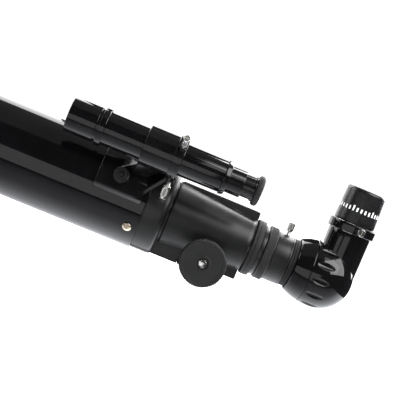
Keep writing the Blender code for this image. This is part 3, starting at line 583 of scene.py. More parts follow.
def make_tube():
    front, rear = along("main_tube")
    inner = TUBE_RADIUS - TUBE_WALL
    corners = [
        (TUBE_RADIUS, rear, 0.35), (TUBE_RADIUS, front, 0.35), (inner, front), (inner, rear),
    ]
    turned_piece("main_tube", corners, OPTICAL, "gloss_black_paint", "tube")


def lens_corners(outer, front, front_curve, rear, rear_curve):
    """Both faces of a lens as outline corners, from its rear middle round to its front middle."""
    def sag(curve, distance):
        return math.copysign(abs(curve) - math.sqrt(curve * curve - distance * distance), curve)

    steps = [outer * i / 12 for i in range(13)]
    corners = [(r, rear + sag(rear_curve, r)) for r in steps]
    corners += [(r, front + sag(front_curve, r)) for r in reversed(steps)]
    return corners


def make_front_end():
    lens_front, lens_rear, lens = span("crown_lens")
    crown = lens_corners(lens, lens_front, 424.0, lens_front + 6.5, -302.0)
    turned_piece("crown_lens", crown, OPTICAL, "lens_glass", "tube")
    front, rear, cell = span("objective_cell")
    tube_front = along("main_tube")[0]
    corners = [
        (SPIGOT, rear), (SPIGOT, tube_front - GAP), (cell, tube_front - GAP, 0.8),
        (cell, front + 18, 0.2), (cell - 0.5, front + 17.6), (cell - 0.5, front + 16.8),
        (cell, front + 16.4, 0.2), (cell, front, 1.0), (cell - 5.4, front, 0.5),
        (cell - 5.4, front + 4), (lens + GAP, front + 4), (lens + GAP, lens_rear + 4.7),
        (lens - 2.2, lens_rear + 4.7), (lens - 2.2, lens_rear + 8), (lens - 1, rear),
    ]
    turned_piece("objective_cell", corners, OPTICAL, SATIN, "tube")
    ring_front, ring_rear, ring = span("lens_retaining_ring")
    corners = [
        (ring, ring_front, 0.25), (33.2, ring_front, 0.4), (33.2, ring_rear),
        (lens, ring_rear), (lens, ring_front + 3.5), (ring, ring_front + 3.5),
    ]
    mesh = lathe("lens_retaining_ring", corners, OPTICAL, FINE)
    notches = []
    for turn in range(2):
        place = OPTICAL @ Matrix.Rotation(turn * math.pi, 4, "Z")
        low = (ring - 2.4, -1.2, ring_front - 1)
        notches.append(block("notch", low, (ring + 2, 1.2, ring_front + 1.1), place, 0))
    stand_in("lens_retaining_ring", cut(mesh, *notches), "matte_black", "tube")


def make_dew_shield():
    """The sliding hood: its rim turned over, the inside ridged against stray light."""
    front, rear, rim = span("dew_shield")
    skin = rim - 0.7
    bore = rim - 2.2
    corners = [
        (skin, rear, 0.4), (skin, front + 6.2, 0.2), (rim, front + 5.6, 0.4), (rim, front, 1.0),
        (bore, front, 0.7),
    ]
    ridge = 1.6
    count = int((rear - 4 - (front + 4)) / ridge)
    for i in range(count):
        at = front + 4 + i * ridge
        corners += [(bore, at), (bore + 0.35, at + ridge * 0.55)]
    corners.append((bore, rear))
    mesh = lathe("dew_shield", corners, OPTICAL, FINE)
    stand_in("dew_shield", mesh, "gloss_black_paint", "dew_shield")
    mesh.materials.append(LOOKS["matte_black"])
    inside = bore + 0.4
    for face in mesh.polygons:
        centre = face.center / MM
        away = math.hypot(centre.y, centre.z - AXIS_HEIGHT)
        if away < inside and centre.x > REAR + front + 1.5:
            face.material_index = 1


def make_dovetail():
    low, high = ends("dovetail_bar")
    half_top = 18.0
    bottom = low.z - AXIS_HEIGHT
    top = high.z - AXIS_HEIGHT
    outline = [
        (low.y, bottom), (high.y, bottom), (high.y - 1.9, bottom + 9), (half_top + 0.6, bottom + 10.2),
        (half_top, top),
    ]
    edge_angle = math.asin(half_top / SEAT)
    arc = 40
    for i in range(1, arc):
        angle = edge_angle - 2 * edge_angle * i / arc
        outline.append((SEAT * math.sin(angle), -SEAT * math.cos(angle)))
    outline += [
        (-half_top, top), (-half_top - 0.6, bottom + 10.2), (low.y + 1.9, bottom + 9),
    ]
    section = axis((0, 0, AXIS_HEIGHT), (1, 0, 0), (0, 1, 0))
    mesh = prism("dovetail_bar", outline, low.x, high.x, section, 0.7)
    holes = []
    bolts = ("dovetail_bolt_front", "dovetail_bolt_rear")
    for node in bolts:
        place = axis((middle(node).x, 0, 0), (0, 0, 1), (1, 0, 0))
        holes.append(rod("hole", 5.4, 6, -5, place))
    for side in (-1, 1):
        place = axis((0, side * 12.5, 0), (0, 0, 1), (1, 0, 0))
        holes.append(block("groove", (-38, -1.2, -2), (38, 1.2, 0.9), place, 0.0))
    stand_in("dovetail_bar", cut(mesh, *holes), SATIN, "tube")
    bolt_seat = 5.7
    hexagon = [math.tau * i / 6 for i in range(6)]
    key_hole = [(2.9 * math.cos(a), 2.9 * math.sin(a)) for a in hexagon]
    for node in bolts:
        place = axis((middle(node).x, 0, bolt_seat), (0, 0, -1), (1, 0, 0))
        corners = [
            (0, 4.5), (4.6, 4.5), (5.0, 4.1), (5.0, 0), (3.0, 0), (3.0, -14), (0, -14),
        ]
        bolt = lathe(node, corners, place, 120, ribs(30, 0.18, 0.4, 4.0, 3.5))
        socket = prism("hex", key_hole, 1.6, 6, place)
        stand_in(node, cut(bolt, socket), "steel", "tube")


# The focuser

def make_housing():
    front, rear = along("focuser_housing")
    collar_radius = 37.2
    cone_front = 28.1
    cone_rear = 22.4
    collar_end = 18.0
    bore = 17.3
    throat = 24
    throat_end = 20
    mouth = 33.5
    mouth_end = 12
    cover_start = along("pinion_cover")[0] - GAP
    block_end = along("pinion_cover")[1]
    block_bottom = -heights("pinion_cover")[0]
    cone_start = collar_end + 2.6
    slope = (cone_rear - cone_front) / (rear - cone_start)

    def cone(x):
        return cone_front + slope * (x - cone_start)

    corners = [
        (SPIGOT, front), (SPIGOT, GAP), (collar_radius, GAP, 0.4),
        (collar_radius, collar_end, 4.2), (cone_front - 1.3, collar_end, 0.9),
        (cone_front - 1.3, cone_start - 0.9), (cone_front, cone_start, 0.7),
    ]
    for a, b, count in (
        (cone_start + 1.5, cover_start - 0.2, 8),
        (cover_start - 0.1, cover_start + 0.1, 2),
        (cover_start + 0.5, block_end - 1.4, 10),
        (block_end - 1.2, block_end + 0.02, 8),
        (block_end + 0.3, rear - 1.4, 6),
    ):
        corners += stretch((cone(a), a), (cone(b), b), count)
    corners += stretch((cone(rear), rear - 1.2), (cone(rear), rear - 0.02), 6)
    corners += [
        (cone_rear - 0.9, rear), (bore + 0.7, rear), (bore, rear - 0.7), (bore, 26),
        (throat, throat_end), (mouth, mouth_end), (mouth, front),
    ]
    rim = 1.0

    def edge_inset(distance_to_end):
        """How far the last millimetre before an end is rounded in."""
        t = min(max(1 - distance_to_end / rim, 0.0), 1.0)
        return rim * (1 - math.sqrt(max(0.0, 1 - t * t)))

    def form(angle, distance, x):
        if distance <= bore + 0.71:
            return max(distance, polar_box(angle - math.pi, 3.5, 19.3, 0.2)), x
        in_throat = distance < throat + 0.1 and x < throat_end + 0.1
        in_mouth = distance < mouth + 0.1 and x < mouth_end + 0.1
        if in_throat or in_mouth:
            return distance, x
        if x < 0.31 or distance < bore + 1:
            return distance, x
        block_reach = block_bottom if x < cover_start else block_bottom - 3.3
        for start, end, way, half_width, reach, edge, blend in (
            (0, block_end, math.pi, 16.0, block_reach, 1.6, 2.4),
            (50, rear, math.pi, 8.0, 29.4, 1.2, 1.6),
            (cone_start + 1, rear, 0, 5.0, 28.7, 0.9, 1.2),
        ):
            if start < x <= end:
                inset = edge_inset(end - x)
                lump = polar_box(angle - way, half_width - inset, reach - inset, edge)
                distance = smooth_max(distance, lump, blend) if lump else distance
        return distance, x

    turned_piece("focuser_housing", corners, OPTICAL, SATIN, "tube", 420, form)
    make_cover()


def make_cover():
    low, high = ends("pinion_cover")
    mesh = block("pinion_cover", low, high, Matrix.Identity(4), 0.6)
    seats = []
    for node in ("cover_screw_front", "cover_screw_rear"):
        place = axis((middle(node).x, 0, low.z), (0, 0, -1), (1, 0, 0))
        seats.append(rod("hole", 1.9, 1, -5, place))
        place = axis((middle(node).x, 0, low.z - GAP), (0, 0, -1), (1, 0, 0))
        cross_screw(node, place, (3.0, 1.6, 1.4, 9.0), "steel", "tube")
    grooves = []
    for y in (low.y + 3, high.y - 3.8):
        start = (low.x + 8, y, low.z - 1)
        end = (high.x - 8, y + 0.8, low.z + 0.5)
        grooves.append(block("groove", start, end, Matrix.Identity(4), 0))
    stand_in("pinion_cover", cut(mesh, *grooves, *seats), SATIN, "tube")


def make_tube_screws():
    for node in ("tube_screw_near", "tube_screw_far", "tube_screw_upper"):
        centre = middle(node)
        out = outward(centre)
        base = Vector((centre.x, 0, AXIS_HEIGHT)) + out * SEAT
        turn = Matrix.Rotation(math.radians(20), 4, "Z")
        place = axis(base, out, (1, 0, 0)) @ turn
        cross_screw(node, place, (3.7, 1.9, 1.75, 4.6), "warm_steel", "tube", "chrome")


def make_drawtube():
    front, rear, outer = span("drawtube")
    bore = outer - 1.6
    corners = [(outer, rear, 0.2), (outer, front, 0.4), (bore, front, 0.3), (bore, rear)]
    mesh = lathe("drawtube", corners, OPTICAL, FINE)
    rack_front, rack_rear = along("rack")
    seat = block("seat", (-20, -3.3, rack_front - GAP), (-12, 3.3, rack_rear + GAP), OPTICAL, 0)
    stand_in("drawtube", cut(mesh, seat), "chrome", "drawtube")

    front, rear, outer = span("drawtube_end_ring")
    corners = [
        (outer, front, 0.9), (outer, front + 2.3), (outer - 0.35, front + 2.5),
        (outer - 0.35, front + 2.9), (outer, front + 3.1), (outer, rear, 0.9), (17.3, rear),
        (17.3, front),
    ]
    turned_piece("drawtube_end_ring", corners, OPTICAL, "rubber", "drawtube", slot="knurled_black")

    front, rear, flange = span("threaded_neck")
    flange_front = along("drawtube_end_ring")[1] + GAP
    stub = 18.8
    corners = [(stub, rear, 0.3)]
    pitch = 0.9
    turns = int((rear - flange_front - 4.6) / pitch)
    for i in range(turns):
        at = rear - 0.6 - i * pitch
        corners += [(stub, at), (stub - 0.4, at - pitch / 2)]
    corners += [
        (stub - 0.4, flange_front + 3.5), (flange, flange_front + 3.5, 0.4),
        (flange, flange_front, 0.4), (15.1, flange_front), (15.1, front), (13.3, front),
        (13.3, 100.5), (SOCKET_BORE, 100.5), (SOCKET_BORE, rear),
    ]
    turned_piece("threaded_neck", corners, OPTICAL, "brushed_black", "drawtube", slot=SATIN)

    front, rear, outer = span("knurled_ring")
    corners = [(outer - 0.5, front, 0.2), (outer, front + 0.9)]
    corners += stretch((outer, front + 1.1), (outer, rear - 1.1), 26)
    corners += [(outer, rear - 0.9), (outer - 0.5, rear, 0.2), (19.1, rear), (19.1, front)]
    knurl = diamonds(96, 0.38, front + 1.0, rear - 1.0, 0.045)
    turned_piece("knurled_ring", corners, OPTICAL, "knurled_black", "drawtube", 576, knurl)

    front, rear, outer = span("eyepiece_holder")
    corners = [
        (outer, rear, 0.5), (outer, rear - 1.6, 0.15), (outer - 0.25, rear - 1.8),
        (outer - 0.25, rear - 2.2), (outer, rear - 2.4, 0.15),
        (outer, front, 0.5), (19.1, front), (19.1, 112.3), (SOCKET_BORE, 112.3),
        (SOCKET_BORE, rear, 0.3),
    ]
    mesh = lathe("eyepiece_holder", corners, OPTICAL, FINE)
    screw_x = middle("holder_thumbscrew").x
    place = axis((screw_x, 0, AXIS_HEIGHT), (0, 0, 1), (1, 0, 0))
    hole = rod("hole", 2.0, 26, 12, place)
    stand_in("eyepiece_holder", cut(mesh, hole), SATIN, "drawtube")
    knurled_thumbscrew(
        "holder_thumbscrew", place, [1.7, 16.6, 24.4, 2.65, 31.0], "holder_thumbscrew"
    )


def make_knobs():
    """The two focusing knobs: a ribbed edge, a face dished a little and a hollow back."""
    face = abs(ends("focus_knob_right")[1].y)
    outer = ends("focus_knob_left")[1].z - KNOB_CENTRE.z
    rim = 12.0
    for side, node in ((-1, "focus_knob_left"), (1, "focus_knob_right")):
        place = axis((KNOB_CENTRE.x, 0, KNOB_CENTRE.z), (0, side, 0), (0, 0, 1))
        back = face - rim
        corners = [(outer - 1.1, face, 0.35), (outer, face - 1.0, 0.3)]
        corners += stretch((outer, face - 1.3), (outer, back + 1.3), 6)
        corners += [
            (outer, back + 1.0, 0.3), (outer - 1.1, back, 0.35), (outer - 2.6, back, 0.3),
            (outer - 2.6, back + 2.0, 0.5), (9.4, back + 2.0, 0.8), (8.0, back - 1, 0.4),
            (8.0, 21.5, 0.6), (3.3, 21.5), (3.3, face - 4), (1.7, face - 4), (1.7, face - 1.5),
            (4.4, face - 1.5), (4.4, face, 0.35), (6.6, face, 0.2), (6.9, face - 0.22),
            (outer - 3.4, face - 0.22), (outer - 3.1, face, 0.1),
        ]
        edge_ribs = ribs(64, 0.85, back + 0.5, face - 0.5, outer - 0.8)
        turned_piece(node, corners, place, "knob_plastic", "pinion", 640, edge_ribs)
    for side, node in ((-1, "knob_screw_left"), (1, "knob_screw_right")):
        spot = (KNOB_CENTRE.x, side * (face - 1.2), KNOB_CENTRE.z)
        place = axis(spot, (0, side, 0), (0, 0, 1)) @ Matrix.Rotation(math.radians(25), 4, "Z")
        cross_screw(node, place, (3.7, 2.2, 1.4, 10.0), "chrome", "pinion")


# The diagonal and the eyepiece

SEAM = along("diagonal_rear_shell")[0]
SHELL_REAR = along("diagonal_rear_shell")[1]
SHELL_RADIUS = 27.7
SHELL_CENTRE = SHELL_REAR - SHELL_RADIUS
SHELL_LENGTH = 39.0
SHELL_WALL = 2.2


def shell_radius(x, inset=0.0):
    length = SHELL_LENGTH if x < SHELL_CENTRE else SHELL_RADIUS
    part = (x - SHELL_CENTRE) / (length - inset)
    return (SHELL_RADIUS - inset) * math.sqrt(max(0.0, 1 - part * part))


def shell_curve(rear, front, count, inset=0.0, power=1.0):
    """The ball's outline from its rear pole to the front, closer together at the pole."""
    points = []
    for i in range(count + 1):
        x = rear + (front - rear) * (1 - math.cos(math.pi / 2 * (i / count) ** power))
        points.append((shell_radius(x, inset), x))
    return points


def make_diagonal():
    front, rear, flange = span("diagonal_nosepiece")
    flange_front = along("eyepiece_holder")[1] + 0.4
    shell_front = along("diagonal_front_shell")[0]
    corners = [
        (16.0, rear), (16.0, shell_front - GAP), (flange, shell_front - GAP, 0.4),
        (flange, flange_front + 2.4, 0.15), (flange - 0.5, flange_front + 2.2),
        (flange - 0.5, flange_front + 1.8), (flange, flange_front + 1.6, 0.15),
        (flange, flange_front, 0.5), (BARREL_RADIUS, flange_front), (BARREL_RADIUS, front, 0.5),
        (14.3, front), (14.3, rear),
    ]
    turned_piece("diagonal_nosepiece", corners, OPTICAL, "matte_black", "diagonal")

    seam_front = SEAM - GAP
    corners = []
    for i in range(25):
        x = seam_front - (seam_front - shell_front - 0.9) * (i / 24) ** 1.3
        corners.append((shell_radius(x) - max(0.0, 0.5 - (seam_front - x)) ** 2, x))
    corners += [
        (shell_radius(shell_front + 0.4) - 0.2, shell_front + 0.3),
        (shell_radius(shell_front) - 0.8, shell_front),
        (16.3, shell_front), (16.3, shell_front + SHELL_WALL),
    ]
    inner_front = shell_front + SHELL_WALL
    for i in range(7):
        x = inner_front + (seam_front - shell_front - SHELL_WALL) * i / 6
        corners.append((shell_radius(x, SHELL_WALL), x))
    turned_piece("diagonal_front_shell", corners, OPTICAL, "gloss_black_plastic", "diagonal")
    make_rear_shell()
    make_socket_ring()


def make_rear_shell():
    """The ball with its neck, and eleven finger grips scooped out of it round the optical axis."""
    outside = shell_curve(SHELL_REAR, SEAM, 96, power=0.85)
    outside[0] = (0, SHELL_REAR)
    lip = outside[-1]
    inside = shell_curve(SHELL_REAR - SHELL_WALL, SEAM, 12, SHELL_WALL)
    inside[0] = (0, SHELL_REAR - SHELL_WALL)
    corners = outside[:-1] + [(lip[0] - 0.25, lip[1])] + list(reversed(inside))
    grip_at = SHELL_CENTRE - 1.0
    grip_half_length = 7.4
    grip_half_width = 2.7
    grip_depth = 1.25
    grip_angles = [math.pi + math.radians(28) * k for k in range(-5, 6)]

    def form(angle, distance, x):
        if distance < shell_radius(x) - 0.4 or abs(x - grip_at) > grip_half_length:
            return distance, x
        for centre in grip_angles:
            around = (angle - centre + math.pi) % math.tau - math.pi
            part = ((x - grip_at) / grip_half_length) ** 2 + (around * distance / grip_half_width) ** 2
            if part < 1:
                distance -= grip_depth * (1 - part) ** 0.8
        return distance, x

    shell = lathe("diagonal_rear_shell", corners, OPTICAL, 540, form)
    neck_radius = 17.4
    neck_top = heights("socket_ring")[0] - GAP
    neck_corners = [(0, neck_top), (neck_radius, neck_top, 0.3), (neck_radius, 8), (0, 8)]
    neck = lathe("neck", neck_corners, EYEPIECE, FINE)
    socket = rod("socket", SOCKET_BORE, 50, 0.5, EYEPIECE, FINE)
    mesh = cut(join(shell, neck), socket)
    stand_in("diagonal_rear_shell", mesh, "gloss_black_plastic", "diagonal")


def make_socket_ring():
    low, high = heights("socket_ring")
    low_end, high_end = ends("socket_ring")
    outer = (high_end.y - low_end.y) / 2
    corners = [
        (outer, high, 0.6), (outer, low, 0.8), (SOCKET_BORE, low), (SOCKET_BORE, high, 0.3),
    ]
    mesh = lathe("socket_ring", corners, EYEPIECE, FINE)
    centre = middle("socket_thumbscrew")
    out = Vector((centre.x - EYEPIECE_X, centre.y, 0)).normalized()
    place = axis((EYEPIECE_X, 0, centre.z), out, (0, 0, 1))
    hole = rod("hole", 2.0, 25, 12, place)
    mesh = cut(mesh, hole)
    stand_in("socket_ring", mesh, "gloss_black_plastic", "diagonal", SATIN)
    knurled_thumbscrew(
        "socket_thumbscrew", place, [1.7, 16.6, 20.8, 3.2, 27.0], "socket_thumbscrew"
    )


def make_eyepiece():
    low, high = heights("eyepiece_barrel")
    shoulder = 49.0
    corners = [
        (13.5, high), (13.5, shoulder), (BARREL_RADIUS, shoulder), (BARREL_RADIUS, low + 13),
        (15.3, low + 12.4), (15.3, low + 9.6), (BARREL_RADIUS, low + 9), (BARREL_RADIUS, low, 0.5),
        (14.4, low, 0.3), (14.4, 47), (12.2, 47), (12.2, high),
    ]
    turned_piece("eyepiece_barrel", corners, EYEPIECE, "chrome", "eyepiece")
    low, high = EYEPIECE_LOW, EYEPIECE_HIGH
    outer = 16.9
    upper = 16.0
    corners = [
        (11.5, high, 0.3), (14.7, high, 0.5), (upper, high - 1.6, 0.8),
        (upper + 0.05, high - 3.4), (outer, low + 1.2, 0.4), (outer - 0.4, low, 0.25),
        (13.8, low), (13.8, 56), (12.5, 56), (12.5, 71.5), (9.5, 73.0), (10.0, high - 3.6),
    ]
    turned_piece("eyepiece_body", corners, EYEPIECE, "marked_black", "eyepiece", slot=SATIN)
    lens = lens_corners(12.0, 66.0, 40.0, 70.5, -60.0)
    turned_piece("eyepiece_eye_lens", lens, EYEPIECE, "lens_glass", "eyepiece", ROUND)


# The finder

def finder_screw_place(node):
    centre = middle(node)
    start = Vector((centre.x, FINDER_CENTRE.y, FINDER_CENTRE.z))
    return axis(start, centre - start, (1, 0, 0))


def make_finder():
    front, rear = along("finder_tube")
    front_radius = 13.2
    rear_radius = 12.5
    corners = [
        (rear_radius, rear, 0.2), (front_radius, -56.6), (12.0, -56.6), (12.0, front),
        (11.0, front), (11.0, rear),
    ]
    turned_piece("finder_tube", corners, FINDER, "gloss_black_paint", "finder")

    front, rear = along("finder_objective_cell")
    outer = 13.9
    corners = [
        (outer, rear, 0.35), (outer, front, 0.45), (12.8, front, 0.35), (12.8, front + 9.8),
        (11.4, front + 9.8), (11.4, front + 14.8), (12.3, front + 14.8), (12.3, rear),
    ]
    turned_piece("finder_objective_cell", corners, FINDER, "gloss_black_paint", "finder")
    lens = lens_corners(12.5, -75.0, 90.0, -72.0, -90.0)
    turned_piece("finder_objective_lens", lens, FINDER, "lens_glass", "finder", ROUND)

    front, rear = along("finder_lock_ring")
    outer = 14.95
    corners = [(outer, rear, 0.5), (outer, front, 0.5), (13.5, front), (13.5, rear)]
    turned_piece("finder_lock_ring", corners, FINDER, "gloss_black_paint", "finder")

    front, rear = along("finder_eye_tube")
    corners = [
        (10.4, rear, 0.4), (10.4, 51.9, 0.2), (12.7, 51.4, 0.3), (13.6, 48.4, 0.5),
        (13.6, 47.5, 0.3), (10.7, 47.5), (10.7, front), (9.2, front), (9.2, rear),
    ]
    turned_piece("finder_eye_tube", corners, FINDER, "satin_black_metal", "finder", slot=SATIN)

    front, rear = along("finder_eyepiece")
    corners = [
        (9.6, rear, 0.2), (9.6, rear - 1.6, 0.3), (8.8, rear - 1.6), (8.8, front),
        (7.5, front), (7.5, rear),
    ]
    turned_piece(
        "finder_eyepiece", corners, FINDER, "satin_black_metal", "finder_eyepiece",
        slot=SATIN,
    )
    lens = lens_corners(7.2, 64.5, 25.0, 68.5, -25.0)
    turned_piece("finder_eye_lens", lens, FINDER, "lens_glass", "finder_eyepiece", ROUND)

    front, rear = along("finder_eyecup")
    outer = 11.9
    cup_front = 73.8
    corners = [
        (10.2, rear, 0.4), (outer, rear - 1.2, 0.9), (outer, cup_front + 1.0, 0.6),
        (11.0, cup_front, 0.3), (7.2, cup_front), (7.2, front), (5.2, front), (5.2, rear - 2.4),
        (8.4, rear - 1.2),
    ]
    turned_piece("finder_eyecup", corners, FINDER, "rubber", "finder_eyepiece", ROUND)
    for number in (1, 2, 3):
        node = f"finder_screw_{number}"
        knurled_thumbscrew(node, finder_screw_place(node), [1.5, 13.75, 23.1, 3.0, 33.5], node)


SADDLE = axis((REAR, 0, AXIS_HEIGHT), (1, 0, 0), FINDER_OUT)


def make_bracket():
    """The finder's bracket: saddle foot, stem and web under a sleeve with a band for the screws."""
    outer = 41.8
    half_width = 26.7
    foot_front = -43.8
    foot_rear = -4.2
    outline = []
    arc = 48
    for away, way in ((outer, 1), (SEAT, -1)):
        end = math.asin(half_width / away)
        for i in range(arc + 1):
            a = way * (end - 2 * end * i / arc)
            outline.append((away * math.cos(a), away * math.sin(a)))
    foot = prism("finder_bracket", outline, foot_front, foot_rear, SADDLE, 0.5)

    sleeve_front = -18.0
    band_front = 5.9
    band_rear = 13.6
    sleeve_radius = 15.7
    band_radius = 16.8
    bore = 14.0
    sleeve = [
        (0, band_rear), (band_radius, band_rear, 0.6), (band_radius, band_front, 0.5),
        (sleeve_radius, band_front), (sleeve_radius, sleeve_front, 0.6), (0, sleeve_front),
    ]
    sleeve_mesh = lathe("sleeve", sleeve, FINDER, FINE)
    side_view = SADDLE @ Matrix(((0, 1, 0, 0), (0, 0, 1, 0), (1, 0, 0, 0), (0, 0, 0, 1)))
    stem_outline = [(-33, 37), (-10, 37), (5.5, 56), (-17.8, 56), (-17.8, 50.6)]
    stem = prism("stem", stem_outline, -9.5, 9.5, side_view, 0.6)
    web = bmesh.new()
    bmesh.ops.create_cube(web, size=1.0)
    for corner in web.verts:
        upper = corner.co.z > 0
        corner.co.x = corner.co.x * 4 + (10 if upper else -10)
        corner.co.y *= 18 if upper else 50
        corner.co.z = 51.6 if upper else 31
    bmesh.ops.scale(web, vec=(MM, MM, MM), verts=web.verts)
    soften(web, 0.5)
    swap = Matrix(((0, 0, 1, 0), (0, 1, 0, 0), (1, 0, 0, 0), (0, 0, 0, 1)))
    web_mesh = finish_mesh("web", web, SADDLE @ swap)
    hollow = rod("hollow", SEAT, 20, -60, SADDLE, FINE)
    opening = rod("opening", bore, 20, -30, FINDER, FINE)
    bosses = []
    screw_holes = []
    for number in (1, 2, 3):
        place = finder_screw_place(f"finder_screw_{number}")
        corners = [(0, 19.4), (3.3, 19.4, 0.4), (3.3, 14.5), (0, 14.5)]
        bosses.append(lathe("boss", corners, place, SMALL))
        screw_holes.append(rod("hole", 1.8, 22, 10, place))
    mesh = join(foot, stem, web_mesh, sleeve_mesh, *bosses)
    mesh = cut(mesh, hollow, opening, *screw_holes)
    stand_in("finder_bracket", mesh, "satin_black_metal", "tube", SATIN)
    make_bracket_nuts()


def make_bracket_nuts():
    for end in ("lower", "upper"):
        node = f"bracket_nut_{end}"
        centre = middle(node)
        out = outward(centre)
        place = axis((centre.x, 0, AXIS_HEIGHT), out, (1, 0, 0))
        corners = [
            (2.3, 47.0), (3.6, 47.0, 0.15), (3.9, 46.6), (5.2, 46.6), (5.5, 47.0, 0.1),
            (6.15, 46.7, 0.2), (6.15, 46.2), (6.15, 45.0), (6.15, 43.5), (6.15, 42.4),
            (5.8, 42.1), (2.3, 42.1),
        ]
        turned_piece(node, corners, place, SATIN, node, 160, ribs(40, 0.18, 42.5, 46.3, 5.9))
        stud = f"bracket_stud_{end}"
        corners = [(0, 46.2), (1.6, 46.2), (2.0, 45.8)]
        for i in range(5):
            at = 45.4 - i * 0.7
            corners += [(2.0, at), (1.75, at - 0.35)]
        corners += [(2.0, 41.0), (2.0, 36.3), (4.0, 36.3), (4.0, 34.2), (0, 34.2)]
        turned_piece(stud, corners, place, "brushed_black", "tube", SMALL, slot="steel")


def finish_kept_nodes():
    """The inner pieces keep their own shapes and take a finish."""
    for node, look in (
        ("tube_baffle", "matte_black"), ("flint_lens", "lens_glass"), ("lens_spacer", "brass"),
        ("pinion_shaft", "steel"), ("rack", "matte_black"), ("prism", "lens_glass"),
        ("prism_holder", "matte_black"), ("eyepiece_field_lens", "lens_glass"),
        ("finder_reticle", "matte_black"), ("finder_o_ring", "rubber"),
    ):
        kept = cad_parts[node]
        kept.data.materials.clear()
        kept.data.materials.append(LOOKS[look])


# The studio

def area_light(name, spot, aim, width, height, radiance):
    """A softbox of even brightness that faces its aim."""
    lamp = bpy.data.lights.new(name, "AREA")
    lamp.shape = "RECTANGLE"
    lamp.size = width
    lamp.size_y = height
    lamp.energy = radiance * math.pi * width * height
    light = new_object(name, lamp)
    light.location = spot
    light.rotation_euler = (Vector(aim) - Vector(spot)).to_track_quat("-Z", "Y").to_euler()
    light.visible_camera = False
    return light


def plain_white(name, colour, glow):
    """A white that shines a little by itself, for the floor and the backdrop."""
    n = Nodes(name)
    n.set(Base_Color=(*colour, 1.0), Roughness=0.9)
    n.set(Emission_Color=(1.0, 1.0, 1.0, 1.0), Emission_Strength=glow)
    return n.material


def table_glow():
    """The light of a white table top below: dim towards the front, bright behind and to the right."""
    n = Nodes("table_glow")
    parts = n.places()
    near = n.ramp(parts["Y"], -1.5, -0.3, 0.12, 0.52)
    far = n.ramp(parts["Y"], -0.35, 0.25, 0.0, 0.95)
    side = n.ramp(parts["X"], -0.2, 0.45, 0.85, 1.8)
    strength = n.math("MULTIPLY", n.math("ADD", near, far), side)
    n.set(Base_Color=(0.0, 0.0, 0.0, 1.0), Emission_Color=(0.94, 0.955, 1.0, 1.0))
    n.link(strength, n.shader.inputs["Emission Strength"])
    return n.material


def stage_piece(name, shape, material, height=0.0):
    mesh = bpy.data.meshes.new(name)
    shape.to_mesh(mesh)
    shape.free()
    mesh.materials.append(material)
    made = new_object(name, mesh)
    made.location.z = height
    made.visible_shadow = False
    made.visible_transmission = False
    return made


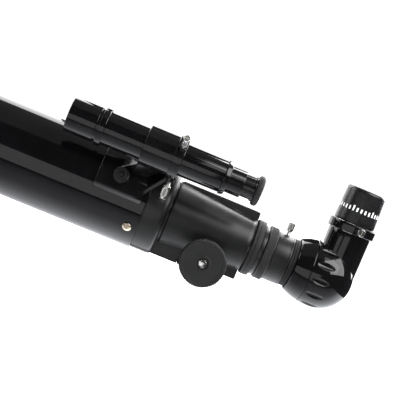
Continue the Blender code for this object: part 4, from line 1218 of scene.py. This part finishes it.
def make_studio():
    world = bpy.data.worlds.new("studio")
    bpy.context.scene.world = world
    world.use_nodes = True
    sky = world.node_tree.nodes["Background"].inputs
    sky["Color"].default_value = (1.0, 1.0, 1.0, 1.0)
    sky["Strength"].default_value = 0.05

    shape = bmesh.new()
    bmesh.ops.create_circle(shape, cap_ends=True, segments=128, radius=4.0)
    floor = stage_piece("floor", shape, plain_white("floor_white", (0.86, 0.86, 0.86), 0.95), -0.0002)
    floor.visible_glossy = False

    shape = bmesh.new()
    bmesh.ops.create_uvsphere(shape, u_segments=64, v_segments=32, radius=5.0)
    dome = stage_piece("backdrop", shape, plain_white("backdrop_white", (0.0, 0.0, 0.0), 1.05))
    dome.visible_glossy = False
    dome.visible_diffuse = False

    shape = bmesh.new()
    bmesh.ops.create_grid(shape, x_segments=1, y_segments=1, size=1.0)
    bmesh.ops.scale(shape, vec=(2.2, 2.25, 1.0), verts=shape.verts)
    bmesh.ops.translate(shape, vec=(0.2, 0.75, 0.0), verts=shape.verts)
    table = stage_piece("table_glow", shape, table_glow(), -0.8)
    table.visible_camera = False

    for name, spot, aim, width, height, radiance in (
        ("key_softbox", (1.15, -0.62, 1.05), (0.30, 0.0, 0.06), 1.5, 1.2, 4.5),
        ("key_wing", (0.95, -0.79, 1.0), (0.95, 0.05, 0.06), 1.18, 0.9, 1.7),
        ("back_high", (1.0, 0.93, 1.60), (1.0, 0.0, 0.06), 1.2, 0.42, 6.5),
        ("back_left", (-0.66, 1.05, 0.95), (-0.66, 0.0, 0.95), 1.27, 1.40, 4.6),
        ("back_right", (1.025, 1.05, 1.11), (1.025, 0.0, 1.11), 1.25, 1.78, 7.0),
        ("side_strip", (-0.30, 1.05, 0.05), (-0.30, 0.0, 0.05), 0.80, 0.30, 2.4),
        ("side_card", (-1.30, 1.05, 0.05), (-1.30, 0.0, 0.05), 1.20, 0.30, 0.9),
        ("left_softbox", (-1.5, 0.20, 0.60), (0.0, 0.20, 0.30), 0.9, 0.9, 4.0),
        ("front_card", (-0.59, -1.25, -0.18), (-0.59, 0.0, -0.18), 2.02, 0.69, 0.9),
        ("ceiling", (0.1, 0.1, 1.9), (0.1, 0.1, 0.0), 3.0, 2.6, 0.18),
    ):
        area_light(name, spot, aim, width, height, radiance)
    floor_fill = area_light("floor_fill", (0.1, 0.0, 2.4), (0.1, 0.0, 0.0), 2.5, 2.5, 1.6)
    floor_fill.visible_glossy = False


def make_camera():
    """A long lens from the side, rolled so that the tube slopes down to the right."""
    slope = math.radians(22.4)
    spot = Vector((0.195, -0.83, 0.124))
    aim = Vector((0.2241, 0.0, 0.0735))
    back = (spot - aim).normalized()
    right = Vector((math.cos(slope), 0, math.sin(slope)))
    right = (right - back * right.dot(back)).normalized()
    up = back.cross(right)
    lens = bpy.data.cameras.new("camera")
    lens.lens = 91.8
    lens.sensor_width = 36.0
    camera = new_object("camera", lens)
    turn = Matrix((right, up, back)).transposed().to_4x4()
    camera.matrix_world = Matrix.Translation(spot) @ turn
    bpy.context.scene.camera = camera
    bpy.context.scene.view_settings.view_transform = "Standard"


make_camera()
make_studio()
make_tube()
make_front_end()
make_dew_shield()
make_dovetail()
make_housing()
make_tube_screws()
make_drawtube()
make_knobs()
make_diagonal()
make_eyepiece()
make_finder()
make_bracket()
finish_kept_nodes()
